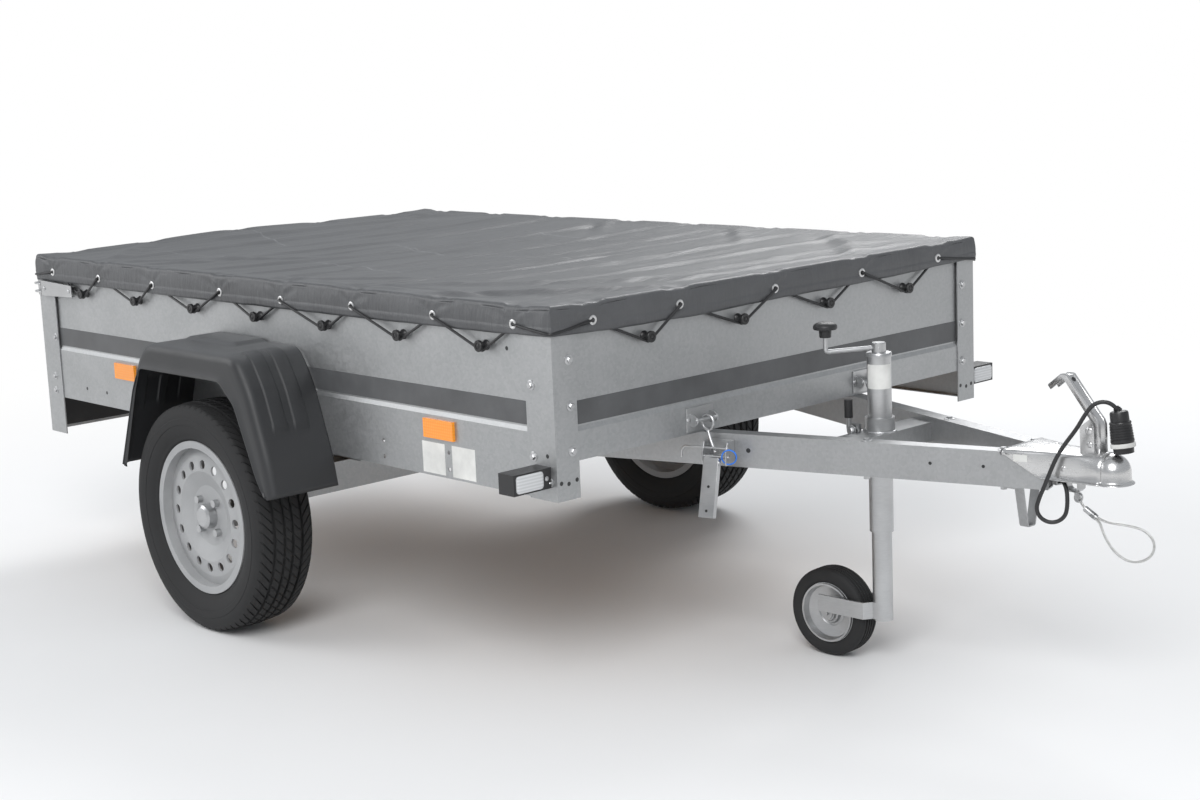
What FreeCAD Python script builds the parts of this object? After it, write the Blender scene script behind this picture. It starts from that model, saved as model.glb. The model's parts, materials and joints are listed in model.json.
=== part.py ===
import FreeCAD, Part
import math
import os
import re

import Sketcher

# Utility trailer with a tipping bed, a flat cover and a jockey wheel. Lengths are millimetres.
# +X points forward to the coupling, +Y to the left and +Z up. The origin is on the ground,
# below the middle of the box around the whole trailer.

document = FreeCAD.newDocument("utility_trailer")

# Driving sizes of the trailer
SIZES = {
    # Bed
    "bed_length": 2080,
    "bed_width": 1348,
    "panel_top": 822,
    "panel_bottom": 443,
    "front_panel_bottom": 515,
    "panel_gauge": 2,
    "panel_step": 4,
    "panel_hem": 16,
    "bead_top": 583,
    "bead_low": 574,
    "floor_bottom": 518,
    "floor_thickness": 12,
    "post_wall": 3,
    "post_side_leg": 82,
    "post_front_leg": 61,
    "post_rear_leg": 34,
    "front_post_bottom": 441,
    "rear_post_bottom": 343,
    "side_hole_radius": 4.5,
    "side_hole_spacing": 36,
    "side_hole_low": 463,
    "side_hole_first": 339,
    "side_hole_second": 563,
    "sill_height": 72,
    "sill_depth": 40,
    "member_width": 60,
    "member_height": 50,
    "member_wall": 3,
    "first_member_back": 1330,
    "second_member_back": 1720,
    # Tailgate
    "gate_bottom": 523,
    "gate_depth": 25,
    "gate_gap": 6,
    "gate_top": 815,
    "hinge_radius": 6,
    "hinge_pin_radius": 3,
    "hinge_width": 60,
    "hinge_ear": 8,
    "hinge_rise": 3,
    "hinge_spread": 760,
    # Running gear
    "axle_back": 1100,
    "track": 1514,
    "tyre_radius": 273,
    "tyre_width": 155,
    "bead_seat_radius": 165,
    "rim_flange_radius": 182,
    "rim_width": 124,
    "rim_gauge": 4,
    "rim_offset": 30,
    "rim_hole_radius": 11,
    "rim_hole_ring": 124,
    "rim_hole_count": 16,
    "hub_radius": 68,
    "hub_bore_radius": 30,
    "bolt_ring": 50,
    "bolt_radius": 9,
    "bolt_length": 14,
    "axle_tube_size": 70,
    "axle_tube_wall": 5,
    "arm_reach": 142,
    "arm_rise": 73,
    "arm_width": 34,
    "arm_height": 62,
    "arm_gap": 6,
    "stub_radius": 17,
    "bearing_gap": 0.05,
    "mount_plate_width": 160,
    "mount_plate_gauge": 8,
    # Wheel guards
    "guard_out": 184,
    "guard_wall": 3,
    "guard_top": 680,
    "guard_foot": 373,
    # Cover
    "cover_thickness": 3,
    "cover_skirt": 52,
    "cover_gap": 0.3,
    "knob_height": 737.6,
    "knob_radius": 12,
    "knob_length": 24,
    "knob_first": 203,
    "knob_spacing": 271,
    "end_knob_spacing": 277,
    # Lamps
    "lamp_depth": 42,
    "lamp_width": 230,
    "lamp_height": 88,
    "lamp_centre_in": 150,
    "board_top": 443,
    "board_bottom": 345,
    "reflector_length": 98,
    "reflector_height": 41,
    "reflector_depth": 7,
    "reflector_height_up": 546,
    "front_reflector_back": 364,
    "rear_reflector_back": 1652,
    "marker_width": 98,
    "marker_height": 42,
    "marker_depth": 45,
    "marker_back": 62,
    "marker_height_up": 490,
    # Drawbar
    "nose_reach": 845,
    "beam_top": 514.7,
    "beam_height": 70,
    "beam_width": 35,
    "beam_wall": 3,
    "beam_angle": 17.8,
    "beam_tip_reach": 690,
    "beam_tip_half": 38.5,
    "beam_back": 850,
    "tilt_pin_radius": 8,
    "tilt_back": 900,
    "tilt_lug_width": 40,
    "tilt_lug_height": 56,
    "tilt_lug_gauge": 8,
    "tilt_ear_gap": 1,
    "pin_clearance": 0.05,
    "crossbar_reach": 257,
    "crossbar_width": 64,
    "crossbar_drop": 11,
    "crossbar_height": 40,
    "crossbar_wall": 4,
    # Coupling
    "ball_reach": 805,
    "ball_height": 490,
    "socket_radius": 25.4,
    "dome_radius": 34.5,
    "coupling_rear_reach": 603,
    "coupling_half": 39,
    "coupling_gauge": 4,
    "coupling_lip": 468,
    "handle_half": 14,
    # Jockey wheel
    "jockey_tube_radius": 25,
    "jockey_tube_bore": 21.6,
    "jockey_tube_top": 668,
    "jockey_tube_low": 290,
    "jockey_leg_radius": 21,
    "jockey_leg_bore": 17,
    "jockey_leg_top": 500,
    "jockey_leg_low": 98,
    "jockey_leg_drop": 105,
    "jockey_nut_height": 30,
    "nut_gap": 0.3,
    "collar_height": 6,
    "jockey_screw_radius": 8,
    "jockey_wheel_radius": 96,
    "jockey_wheel_width": 58,
    "jockey_rim_radius": 64,
    "jockey_trail": 127,
    "jockey_turn": 3.7,
    "fork_gauge": 5,
    "fork_gap": 5,
    "fork_height": 36,
    "jockey_axle_radius": 6,
    "crank_radius": 5,
    "crank_reach": 110,
    "crank_turn": 50,
    "crank_rise": 50,
    "knob_head_radius": 25,
    "sleeve_radius": 31,
    "sleeve_height": 70,
}

# Places worked out from the sizes
PLACES = {
    "front_x": "(bed_length + lamp_depth - nose_reach) / 2",
    "rear_x": "front_x - bed_length",
    "side_y": "bed_width / 2",
    "post_y": "side_y - post_wall",
    "panel_y": "post_y - panel_step",
    "front_face": "front_x - post_wall - panel_step",
    "floor_top": "floor_bottom + floor_thickness",
    "gate_y": "side_y - post_rear_leg - gate_gap",
    "gate_inside_x": "rear_x + gate_depth",
    "axle_x": "front_x - axle_back",
    "wheel_y": "track / 2",
    "tube_x": "axle_x + arm_reach",
    "tube_z": "tyre_radius + arm_rise",
    "arm_y": "wheel_y - tyre_width / 2 - arm_gap",
    "beam_bottom": "beam_top - beam_height",
    "beam_tip_x": "front_x + beam_tip_reach",
    "beam_run": "(beam_tip_reach + beam_back) / cos(beam_angle)",
    "tilt_x": "front_x - tilt_back",
    "tilt_z": "beam_top - beam_height / 2",
    "tilt_y": "beam_tip_half + (beam_tip_reach + beam_back) * tan(beam_angle) - beam_width",
    "hinge_x": "rear_x - hinge_radius",
    "hinge_z": "gate_bottom + hinge_rise",
    "jockey_x": "front_x + crossbar_reach",
    "crossbar_top": "beam_top - crossbar_drop",
    "crossbar_low": "crossbar_top - crossbar_height",
    "ball_x": "front_x + ball_reach",
    "coupling_top": "beam_top + coupling_gauge",
    "cover_x": "front_x + cover_gap",
    "cover_y": "side_y + cover_gap",
    "cover_top": "panel_top + cover_gap + cover_thickness",
    "cover_low": "cover_top - cover_skirt",
}

WORD = re.compile(r"[A-Za-z_][A-Za-z_0-9]*")


def expression(text):
    """Name the sheet in front of each size or place in an expression."""
    def full_name(match):
        word = match.group(0)
        if word in SIZES:
            return "Sizes." + word
        if word in PLACES:
            return "Places." + word
        return word
    return WORD.sub(full_name, str(text))


def fill_sheet(label, rows, prefix=""):
    """Write names in column A and their values, with aliases, in column B."""
    sheet = document.addObject("Spreadsheet::Sheet", label)
    for row, (alias, value) in enumerate(rows.items(), start=1):
        sheet.set(f"A{row}", alias)
        sheet.set(f"B{row}", prefix + str(value))
        sheet.setAlias(f"B{row}", alias)
    document.recompute()
    return sheet


sizes = fill_sheet("Sizes", SIZES)
places = fill_sheet("Places", {name: expression(text) for name, text in PLACES.items()}, "=")

X_AXIS = FreeCAD.Vector(1, 0, 0)
Y_AXIS = FreeCAD.Vector(0, 1, 0)
Z_AXIS = FreeCAD.Vector(0, 0, 1)
ALONG = {
    "x": FreeCAD.Rotation(Z_AXIS, X_AXIS),
    "y": FreeCAD.Rotation(Z_AXIS, Y_AXIS),
    "z": FreeCAD.Rotation(),
}
NODES = []


def node(piece, label):
    """Give a finished piece the label that names its file."""
    piece.Label = label
    NODES.append(piece)
    return piece


def mirrored(piece):
    """Make the right-hand copy of a left-hand piece."""
    copy = document.addObject("Part::Mirroring", piece.Name + "_mirrored")
    copy.Source = piece
    copy.Normal = Y_AXIS
    return copy


def both_sides(piece, label):
    """Keep a left-hand piece and its right-hand copy as two nodes."""
    node(piece, label + "_left")
    node(mirrored(piece), label + "_right")


def one_pair(piece, label):
    """Keep a left-hand piece and its right-hand copy as one node."""
    node(fuse(label + "_pair", piece, mirrored(piece)), label)


def place(piece, centre, turn=None):
    """Bind a piece's position to expressions for x, y and z."""
    if turn is not None:
        piece.Placement = FreeCAD.Placement(FreeCAD.Vector(), turn)
    for axis, text in zip("xyz", centre):
        piece.setExpression(f"Placement.Base.{axis}", expression(text))
    return piece


def turn_by(piece, axis, angle):
    """Bind a piece's turn about one axis to an expression in degrees."""
    piece.Placement = FreeCAD.Placement(piece.Placement.Base, FreeCAD.Rotation(axis, 1))
    piece.setExpression("Placement.Rotation.Angle", expression(angle))
    return piece


def box(name, low, high):
    """Make a block between two corners."""
    piece = document.addObject("Part::Box", name)
    for size, start, end in zip(("Length", "Width", "Height"), low, high):
        piece.setExpression(size, expression(f"({end}) - ({start})"))
    return place(piece, low)


def rod(name, axis, start, length, radius):
    """Make a round bar from its start along one axis."""
    piece = document.addObject("Part::Cylinder", name)
    piece.setExpression("Radius", expression(radius))
    piece.setExpression("Height", expression(length))
    return place(piece, start, ALONG[axis])


def ball(name, centre, radius):
    """Make a whole sphere."""
    piece = document.addObject("Part::Sphere", name)
    piece.setExpression("Radius", expression(radius))
    return place(piece, centre)


def fuse(name, *pieces):
    """Join pieces that touch, or keep pieces that don't as one group."""
    piece = document.addObject("Part::MultiFuse", name)
    piece.Shapes = list(pieces)
    return piece


def cut(name, base, *tools):
    """Take tools out of a base."""
    piece = document.addObject("Part::Cut", name)
    piece.Base = base
    piece.Tool = tools[0] if len(tools) == 1 else fuse(name + "_tools", *tools)
    return piece


def common(name, first, second):
    """Keep what two pieces share."""
    piece = document.addObject("Part::Common", name)
    piece.Base = first
    piece.Tool = second
    return piece


def bind_point(sketch, geometry, position, point):
    """Hold one point of a sketch at two expressions from the sketch's origin."""
    for kind, text in zip(("DistanceX", "DistanceY"), point):
        number = sketch.addConstraint(Sketcher.Constraint(kind, -1, 1, geometry, position, 10))
        sketch.setExpression(f"Constraints[{number}]", expression(text))


def sketch_in(body, role, outline=(), circles=()):
    """Draw a closed outline, and circles, whose points are bound to expressions."""
    sketch = body.newObject("Sketcher::SketchObject", body.Name + "_sketch")
    plane = [feature for feature in body.Origin.OriginFeatures if feature.Role == role][0]
    sketch.AttachmentSupport = (plane, [""])
    sketch.MapMode = "FlatFace"
    count = len(outline)
    corners = []
    for index in range(count):
        angle = 2 * math.pi * index / count
        corners.append(FreeCAD.Vector(100 * math.cos(angle), 100 * math.sin(angle), 0))
    for index in range(count):
        sketch.addGeometry(Part.LineSegment(corners[index], corners[(index + 1) % count]), False)
    for index in range(count):
        sketch.addConstraint(Sketcher.Constraint("Coincident", index, 2, (index + 1) % count, 1))
    for index, point in enumerate(outline):
        bind_point(sketch, index, 1, point)
    for centre, radius in circles:
        index = sketch.addGeometry(Part.Circle(FreeCAD.Vector(10, 10, 0), Z_AXIS, 5), False)
        bind_point(sketch, index, 3, centre)
        number = sketch.addConstraint(Sketcher.Constraint("Radius", index, 5))
        sketch.setExpression(f"Constraints[{number}]", expression(radius))
    return sketch


def feature_from(kind, body, sketch, length, middle, back):
    feature = body.newObject(f"PartDesign::{kind}", f"{body.Name}_{kind.lower()}")
    feature.Profile = sketch
    feature.setExpression("Length", expression(length))
    feature.SideType = "Symmetric" if middle else "One side"
    feature.Reversed = back
    return feature


def pad(body, sketch, length, middle=False, back=False):
    """Extrude a sketch."""
    return feature_from("Pad", body, sketch, length, middle, back)


def pocket(body, sketch, length, middle=False, back=False):
    """Cut a sketch out of a body."""
    return feature_from("Pocket", body, sketch, length, middle, back)


def new_body(name):
    return document.addObject("PartDesign::Body", name)


def extruded(name, role, outline, length, centre=("0", "0", "0"), middle=False, back=False):
    """Make a body from one padded outline."""
    body = new_body(name)
    pad(body, sketch_in(body, role, outline), length, middle, back)
    return place(body, centre)


def turned(name, outline, centre=("0", "0", "0")):
    """Revolve a half profile, given as places along Y and radii, around the Y direction."""
    body = new_body(name)
    sketch = sketch_in(body, "YZ_Plane", outline)
    feature = body.newObject("PartDesign::Revolution", name + "_turn")
    feature.Profile = sketch
    feature.ReferenceAxis = (sketch, ["H_Axis"])
    feature.Angle = 360
    return place(body, centre)


def panel_profile(outer, lower, bottom):
    """Outline of a folded sheet panel: hem, flat face, bead, lower band and bottom flange."""
    return [
        (outer, "panel_top"),
        (outer, "bead_top"),
        (lower, "bead_low"),
        (lower, bottom),
        (f"{lower} - panel_hem", bottom),
        (f"{lower} - panel_hem", f"{bottom} + panel_gauge"),
        (f"{lower} - panel_gauge", f"{bottom} + panel_gauge"),
        (f"{lower} - panel_gauge", "bead_low - panel_gauge / 2"),
        (f"{outer} - panel_gauge", "bead_top - panel_gauge / 2"),
        (f"{outer} - panel_gauge", "panel_top - panel_gauge"),
        (f"{outer} - panel_hem", "panel_top - panel_gauge"),
        (f"{outer} - panel_hem", "panel_top"),
    ]


# Bed: folded side and front panels, corner posts, floor, sill and floor members
def side_panel():
    body = new_body("side_panel")
    start = "gate_inside_x + gate_gap"
    end = "front_face - panel_hem"
    outline = panel_profile("panel_y", "post_y", "panel_bottom")
    pad(body, sketch_in(body, "YZ_Plane", outline), f"{end} - ({start})")
    holes = []
    for back in ("side_hole_first", "side_hole_second"):
        for height in ("side_hole_low", "side_hole_low + side_hole_spacing"):
            holes.append(((f"front_x - {back} - ({start})", height), "side_hole_radius"))
    pocket(body, sketch_in(body, "XZ_Plane", circles=holes), "bed_width", middle=True)
    return place(body, (start, "0", "0"))


def front_panel():
    outline = panel_profile("panel_hem", "panel_step + panel_hem", "front_panel_bottom")
    centre = ("front_face - panel_hem", "0", "0")
    return extruded("front_panel_body", "XZ_Plane", outline, "2 * post_y", centre, middle=True)


def corner_post(end, edge, toward, leg, bottom):
    """Angle post: one leg along the side of the bed, one across its end."""
    outline = [
        ("0", "0"),
        (f"{toward} * post_side_leg", "0"),
        (f"{toward} * post_side_leg", "-post_wall"),
        (f"{toward} * post_wall", "-post_wall"),
        (f"{toward} * post_wall", f"-{leg}"),
        ("0", f"-{leg}"),
    ]
    centre = (edge, "side_y", bottom)
    return extruded(end + "_post_body", "XY_Plane", outline, f"panel_top - {bottom}", centre)


def channel_across(name, start, width, height):
    """Channel under the floor, open downwards, from one side panel to the other."""
    reach = "post_y - panel_gauge"
    low = f"floor_bottom - {height}"
    outer = box(name + "_outer", (start, f"-({reach})", low), (f"{start} + {width}", reach, "floor_bottom"))
    inner = box(
        name + "_inner",
        (f"{start} + member_wall", f"-({reach})", low),
        (f"{start} + {width} - member_wall", reach, "floor_bottom - member_wall"),
    )
    return cut(name, outer, inner)


def bed():
    both_sides(side_panel(), "side_panel")
    both_sides(corner_post("front", "front_x", -1, "post_front_leg", "front_post_bottom"), "front_post")
    both_sides(corner_post("rear", "rear_x", 1, "post_rear_leg", "rear_post_bottom"), "rear_post")
    node(front_panel(), "front_panel")
    edge = "post_y - panel_gauge"
    floor = box(
        "floor_block",
        ("gate_inside_x + gate_gap", f"-({edge})", "floor_bottom"),
        ("front_face + panel_step - panel_gauge", edge, "floor_top"),
    )
    node(floor, "floor_board")
    node(channel_across("sill", "rear_x + post_wall", "sill_depth", "sill_height"), "rear_sill")
    members = []
    for name in ("first", "second"):
        start = f"front_x - {name}_member_back"
        members.append(channel_across(name + "_member", start, "member_width", "member_height"))
    node(fuse("members", *members), "floor_members")


# Tailgate, hinged at its foot and closed between the rear posts
def tailgate():
    outer = box(
        "gate_outer",
        ("rear_x", "-gate_y", "gate_bottom"),
        ("gate_inside_x", "gate_y", "gate_top"),
    )
    inner = box(
        "gate_inner",
        ("rear_x + panel_gauge", "-(gate_y - panel_gauge)", "gate_bottom + panel_gauge"),
        ("gate_inside_x", "gate_y - panel_gauge", "gate_top - panel_gauge"),
    )
    inside = "(hinge_spread - hinge_width) / 2"
    outside = "(hinge_spread + hinge_width) / 2"
    leaf = box(
        "hinge_leaf",
        ("rear_x - panel_gauge", inside, "hinge_z"),
        ("rear_x", outside, "hinge_z + hinge_width / 2"),
    )
    knuckle = rod("hinge_knuckle", "y", ("hinge_x", inside, "hinge_z"), "hinge_width", "hinge_radius")
    bore = rod(
        "hinge_bore",
        "y",
        ("hinge_x", inside, "hinge_z"),
        "hinge_width",
        "hinge_pin_radius + pin_clearance",
    )
    tray = cut("gate_tray", outer, inner)
    solid = fuse("gate_solid", tray, leaf, knuckle, mirrored(leaf), mirrored(knuckle))
    node(cut("gate", solid, bore, mirrored(bore)), "tailgate_panel")


def tailgate_hinge():
    """Fixed half of a tailgate hinge: a pin between two ears on the rear sill."""
    inside = "(hinge_spread - hinge_width) / 2 - tilt_ear_gap"
    outside = "(hinge_spread + hinge_width) / 2 + tilt_ear_gap"
    ears = []
    for index, start in enumerate((f"{inside} - hinge_ear", outside)):
        ears.append(box(
            f"hinge_ear_{index}",
            ("hinge_x - hinge_radius", start, "hinge_z - 4 * hinge_radius"),
            ("hinge_x + hinge_radius / 2", f"{start} + hinge_ear", "hinge_z + hinge_radius * 0.7"),
        ))
        ears.append(box(
            f"hinge_foot_{index}",
            ("hinge_x - hinge_radius", start, "floor_bottom - 5 * hinge_radius"),
            ("rear_x + post_wall", f"{start} + hinge_ear", "floor_bottom - hinge_rise"),
        ))
    length = "hinge_width + 2 * tilt_ear_gap + 2 * hinge_ear"
    pin = rod("hinge_pin", "y", ("hinge_x", f"{inside} - hinge_ear", "hinge_z"), length, "hinge_pin_radius")
    one_pair(fuse("hinge_fixed", pin, *ears), "tailgate_hinges")


# Torsion axle with its mounting plates, arms and stub shafts
def axle():
    half = "axle_tube_size / 2"
    reach = "arm_y - arm_width"
    outer = box(
        "axle_outer",
        (f"tube_x - {half}", f"-({reach})", f"tube_z - {half}"),
        (f"tube_x + {half}", reach, f"tube_z + {half}"),
    )
    bore = box(
        "axle_inner",
        (f"tube_x - {half} + axle_tube_wall", f"-({reach})", f"tube_z - {half} + axle_tube_wall"),
        (f"tube_x + {half} - axle_tube_wall", reach, f"tube_z + {half} - axle_tube_wall"),
    )
    ears = []
    for index, start in enumerate(("tilt_y - tilt_ear_gap - 2 * tilt_lug_gauge", "tilt_y + tilt_ear_gap")):
        ears.append(box(
            f"tilt_ear_{index}",
            (f"tube_x - {half}", start, f"tube_z + {half}"),
            ("tilt_x + tilt_lug_width / 2", f"{start} + tilt_lug_gauge", "tilt_z + tilt_lug_height / 2"),
        ))
    plate = box(
        "mount_plate",
        ("tube_x - mount_plate_width / 2", f"{reach} - mount_plate_gauge", f"tube_z + {half}"),
        ("tube_x + mount_plate_width / 2", reach, "floor_bottom"),
    )
    pin_hole = rod(
        "tilt_pin_hole",
        "y",
        ("tilt_x", "tilt_y - 3 * tilt_lug_gauge", "tilt_z"),
        "5 * tilt_lug_gauge",
        "tilt_pin_radius + pin_clearance",
    )
    side = fuse("axle_side", plate, cut("tilt_ears", fuse("tilt_ear_pair", *ears), pin_hole))
    node(fuse("axle_set", cut("axle_hollow", outer, bore), side, mirrored(side)), "axle_tube")
    bar = document.addObject("Part::Box", "arm_bar")
    bar.setExpression("Length", expression("sqrt(arm_reach ^ 2 + arm_rise ^ 2)"))
    bar.setExpression("Width", expression("arm_width"))
    bar.setExpression("Height", expression("arm_height"))
    slope = "atan(arm_rise / arm_reach)"
    turn_by(bar, Y_AXIS, f"-{slope}")
    place(bar, (
        f"axle_x + arm_height / 2 * sin({slope})",
        "arm_y - arm_width",
        f"tyre_radius - arm_height / 2 * cos({slope})",
    ))
    root = rod("arm_root", "y", ("tube_x", "arm_y - arm_width", "tube_z"), "arm_width", "arm_height / 2")
    eye = rod("arm_eye", "y", ("axle_x", "arm_y - arm_width", "tyre_radius"), "arm_width", "arm_height / 2")
    stub = rod("stub", "y", ("axle_x", "arm_y", "tyre_radius"), "wheel_y + rim_offset - arm_y", "stub_radius")
    both_sides(fuse("arm", bar, root, eye, stub), "axle_arm")


# Road wheel: tyre, pressed rim with a ring of vents, and hub with bolts and cap
def wheel():
    centre = ("axle_x", "wheel_y", "tyre_radius")
    half = "tyre_width / 2"
    casing = [
        ("0", "tyre_radius"),
        ("tyre_width / 4", "tyre_radius - 1"),
        (f"{half} - 18", "tyre_radius - 5"),
        (f"{half} - 8", "tyre_radius - 16"),
        (f"{half} - 2", "rim_flange_radius + 58"),
        (half, "rim_flange_radius + 40"),
        (f"{half} - 3", "rim_flange_radius + 22"),
        (f"{half} - 12", "rim_flange_radius + 4"),
        ("rim_width / 2 - rim_gauge", "rim_flange_radius"),
        ("rim_width / 2 - rim_gauge", "bead_seat_radius + rim_gauge"),
        ("rim_width / 2 - rim_gauge - 12", "bead_seat_radius + rim_gauge"),
        ("rim_width / 2 - rim_gauge - 12", "rim_flange_radius + 6"),
        (f"{half} - 12", "rim_flange_radius + 30"),
        (f"{half} - 10", "rim_flange_radius + 48"),
        (f"{half} - 22", "tyre_radius - 20"),
        ("0", "tyre_radius - 14"),
    ]
    left_half = [(f"-({across})", radius) for across, radius in casing[-2:0:-1]]
    profile = casing + left_half
    both_sides(turned("tyre", profile, centre), "tyre")
    edge = "rim_width / 2"
    rim = [
        (f"-({edge})", "rim_flange_radius"),
        (f"-({edge} - rim_gauge)", "rim_flange_radius"),
        (f"-({edge} - rim_gauge)", "bead_seat_radius + rim_gauge"),
        ("-24", "bead_seat_radius + rim_gauge"),
        ("-12", "bead_seat_radius - 10"),
        ("26", "bead_seat_radius - 10"),
        ("34", "bead_seat_radius + rim_gauge"),
        (f"{edge} - rim_gauge", "bead_seat_radius + rim_gauge"),
        (f"{edge} - rim_gauge", "rim_flange_radius"),
        (edge, "rim_flange_radius"),
        (edge, "bead_seat_radius"),
        ("38", "bead_seat_radius"),
        ("rim_offset + 14", "rim_hole_ring + 20"),
        ("rim_offset + 18", "rim_hole_ring - 16"),
        ("rim_offset + rim_gauge", "hub_radius + 4"),
        ("rim_offset + rim_gauge", "hub_bore_radius"),
        ("rim_offset", "hub_bore_radius"),
        ("rim_offset", "hub_radius + 6"),
        ("rim_offset + 13", "rim_hole_ring - 18"),
        ("rim_offset + 9", "rim_hole_ring + 20"),
        ("rim_offset", "bead_seat_radius - 10 - rim_gauge"),
        ("-14", "bead_seat_radius - 10 - rim_gauge"),
        ("-26", "bead_seat_radius"),
        (f"-({edge})", "bead_seat_radius"),
    ]
    body = turned("rim", rim, centre)
    hole = sketch_in(body, "XZ_Plane", circles=[(("0", "rim_hole_ring"), "rim_hole_radius")])
    vent = pocket(body, hole, "tyre_width", back=False)
    document.recompute()
    ring = body.newObject("PartDesign::PolarPattern", "vents")
    ring.Originals = [vent]
    ring.Axis = (hole, ["N_Axis"])
    ring.Angle = 360
    ring.setExpression("Occurrences", expression("rim_hole_count"))
    body.Tip = ring
    both_sides(body, "rim")
    bore = "stub_radius + bearing_gap"
    inner = "arm_y - wheel_y + arm_gap"
    hub = [
        (inner, bore),
        (inner, "hub_bore_radius + 8"),
        ("rim_offset - 10", "hub_bore_radius + 8"),
        ("rim_offset - 10", "hub_radius"),
        ("rim_offset", "hub_radius"),
        ("rim_offset", "hub_bore_radius - bearing_gap"),
        ("rim_offset + 24", "hub_bore_radius - 2"),
        ("rim_offset + 28", "hub_bore_radius - 8"),
        ("rim_offset + 28", "0"),
        ("rim_offset + 1", "0"),
        ("rim_offset + 1", bore),
    ]
    pieces = [turned("hub_turned", hub, centre)]
    for index in range(4):
        angle = 45 + 90 * index
        start = (
            f"axle_x + bolt_ring * cos({angle})",
            "wheel_y + rim_offset + rim_gauge",
            f"tyre_radius + bolt_ring * sin({angle})",
        )
        pieces.append(rod(f"bolt_{index}", "y", start, "bolt_length", "bolt_radius"))
    return pieces


def wheels():
    hub, *bolts = wheel()
    both_sides(fuse("hub_set", hub, *bolts), "hub")


# Wheel guards, moulded with an open arch in the outer skirt
def wheel_guard():
    outline = [
        ("-291", "guard_foot"),
        ("-214", "guard_top - 101"),
        ("-172", "guard_top - 24"),
        ("-140", "guard_top"),
        ("238", "guard_top"),
        ("287", "guard_top - 76"),
        ("342", "guard_top - 234"),
        ("357", "guard_foot"),
    ]
    inner = [
        ("-287.5", "guard_foot - 1"),
        ("-211", "guard_top - 102.5"),
        ("-170", "guard_top - 26.5"),
        ("-139", "guard_top - guard_wall"),
        ("236", "guard_top - guard_wall"),
        ("284", "guard_top - 77"),
        ("339", "guard_top - 234.5"),
        ("353.5", "guard_foot - 1"),
    ]
    arch = [
        ("-280", "guard_foot - 1"),
        ("-200", "guard_top - 110"),
        ("-172", "guard_top - 63"),
        ("174", "guard_top - 62"),
        ("232", "guard_top - 109"),
        ("304", "guard_top - 270"),
        ("330", "guard_foot - 1"),
    ]
    body = new_body("wheel_guard_body")
    pad(body, sketch_in(body, "XZ_Plane", outline), "guard_out", back=True)
    pocket(body, sketch_in(body, "XZ_Plane", inner), "guard_out - guard_wall", back=False)
    pocket(body, sketch_in(body, "XZ_Plane", arch), "guard_out", back=False)
    return place(body, ("axle_x", "post_y", "0"))


# Cover of coated cloth: a flat sheet with skirts; its rear skirt is tied to the tailgate
def cover():
    outer = box(
        "cover_outer",
        ("rear_x", "-(cover_y + cover_thickness)", "cover_low"),
        ("cover_x + cover_thickness", "cover_y + cover_thickness", "cover_top"),
    )
    inner = box(
        "cover_inner",
        ("rear_x - 1", "-cover_y", "cover_low - 1"),
        ("cover_x", "cover_y", "cover_top - cover_thickness"),
    )
    node(cut("cover_shell", outer, inner), "cover_sheet")
    flap = box(
        "flap",
        ("rear_x - cover_gap - cover_thickness", "-(cover_y + cover_thickness)", "cover_low"),
        ("rear_x - cover_gap", "cover_y + cover_thickness", "cover_top"),
    )
    node(flap, "cover_rear_flap")
    knobs = []
    for index in range(7):
        start = (f"front_x - knob_first - {index} * knob_spacing", "panel_y", "knob_height")
        knobs.append(rod(f"side_knob_{index}", "y", start, "knob_length", "knob_radius"))
    left = fuse("side_knobs", *knobs)
    front = []
    rear = []
    for end, start_x, row in (("front", "front_face", front), ("rear", "rear_x - knob_length", rear)):
        for index in range(4):
            start = (start_x, f"({index} - 1.5) * end_knob_spacing", "knob_height")
            row.append(rod(f"{end}_knob_{index}", "x", start, "knob_length", "knob_radius"))
    node(fuse("bed_knobs", left, mirrored(left), *front), "cover_knobs")
    node(fuse("gate_knobs", *rear), "cover_knobs_rear")


# Lamps, their board and the side reflectors
def lamps():
    board = box(
        "board",
        ("rear_x + post_wall", "-post_y", "board_bottom"),
        ("rear_x + post_wall + panel_gauge", "post_y", "board_top"),
    )
    node(board, "light_board")
    middle = "side_y - lamp_centre_in"
    lamp = box(
        "rear_lamp",
        ("rear_x - lamp_depth", f"{middle} - lamp_width / 2", "board_bottom + 5"),
        ("rear_x + post_wall", f"{middle} + lamp_width / 2", "board_bottom + 5 + lamp_height"),
    )
    one_pair(lamp, "rear_lamps")
    strips = []
    for back in ("front_reflector_back", "rear_reflector_back"):
        strips.append(box(
            back + "_strip",
            (
                f"front_x - {back} - reflector_length / 2",
                "post_y",
                "reflector_height_up - reflector_height / 2",
            ),
            (
                f"front_x - {back} + reflector_length / 2",
                "post_y + reflector_depth",
                "reflector_height_up + reflector_height / 2",
            ),
        ))
    one_pair(fuse("reflectors", *strips), "side_reflectors")
    marker = box(
        "marker",
        ("front_x - marker_back", "side_y", "marker_height_up - marker_height / 2"),
        (
            "front_x - marker_back + marker_depth",
            "side_y + marker_width",
            "marker_height_up + marker_height / 2",
        ),
    )
    one_pair(marker, "front_markers")


# Drawbar: two hollow beams in a V, their tilt lugs and the crossbar
def beam_block(name, inset, over):
    """Block laid along the left beam, smaller by the inset all round and longer by over."""
    block = document.addObject("Part::Box", name)
    block.setExpression("Length", expression(f"beam_run + 2 * {over}"))
    block.setExpression("Width", expression(f"beam_width - 2 * {inset}"))
    block.setExpression("Height", expression(f"beam_height - 2 * {inset}"))
    turn_by(block, Z_AXIS, "180 - beam_angle")
    place(block, (
        f"beam_tip_x + {over} * cos(beam_angle) - {inset} * sin(beam_angle)",
        f"beam_tip_half - {over} * sin(beam_angle) - {inset} * cos(beam_angle)",
        f"beam_bottom + {inset}",
    ))
    return block


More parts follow.
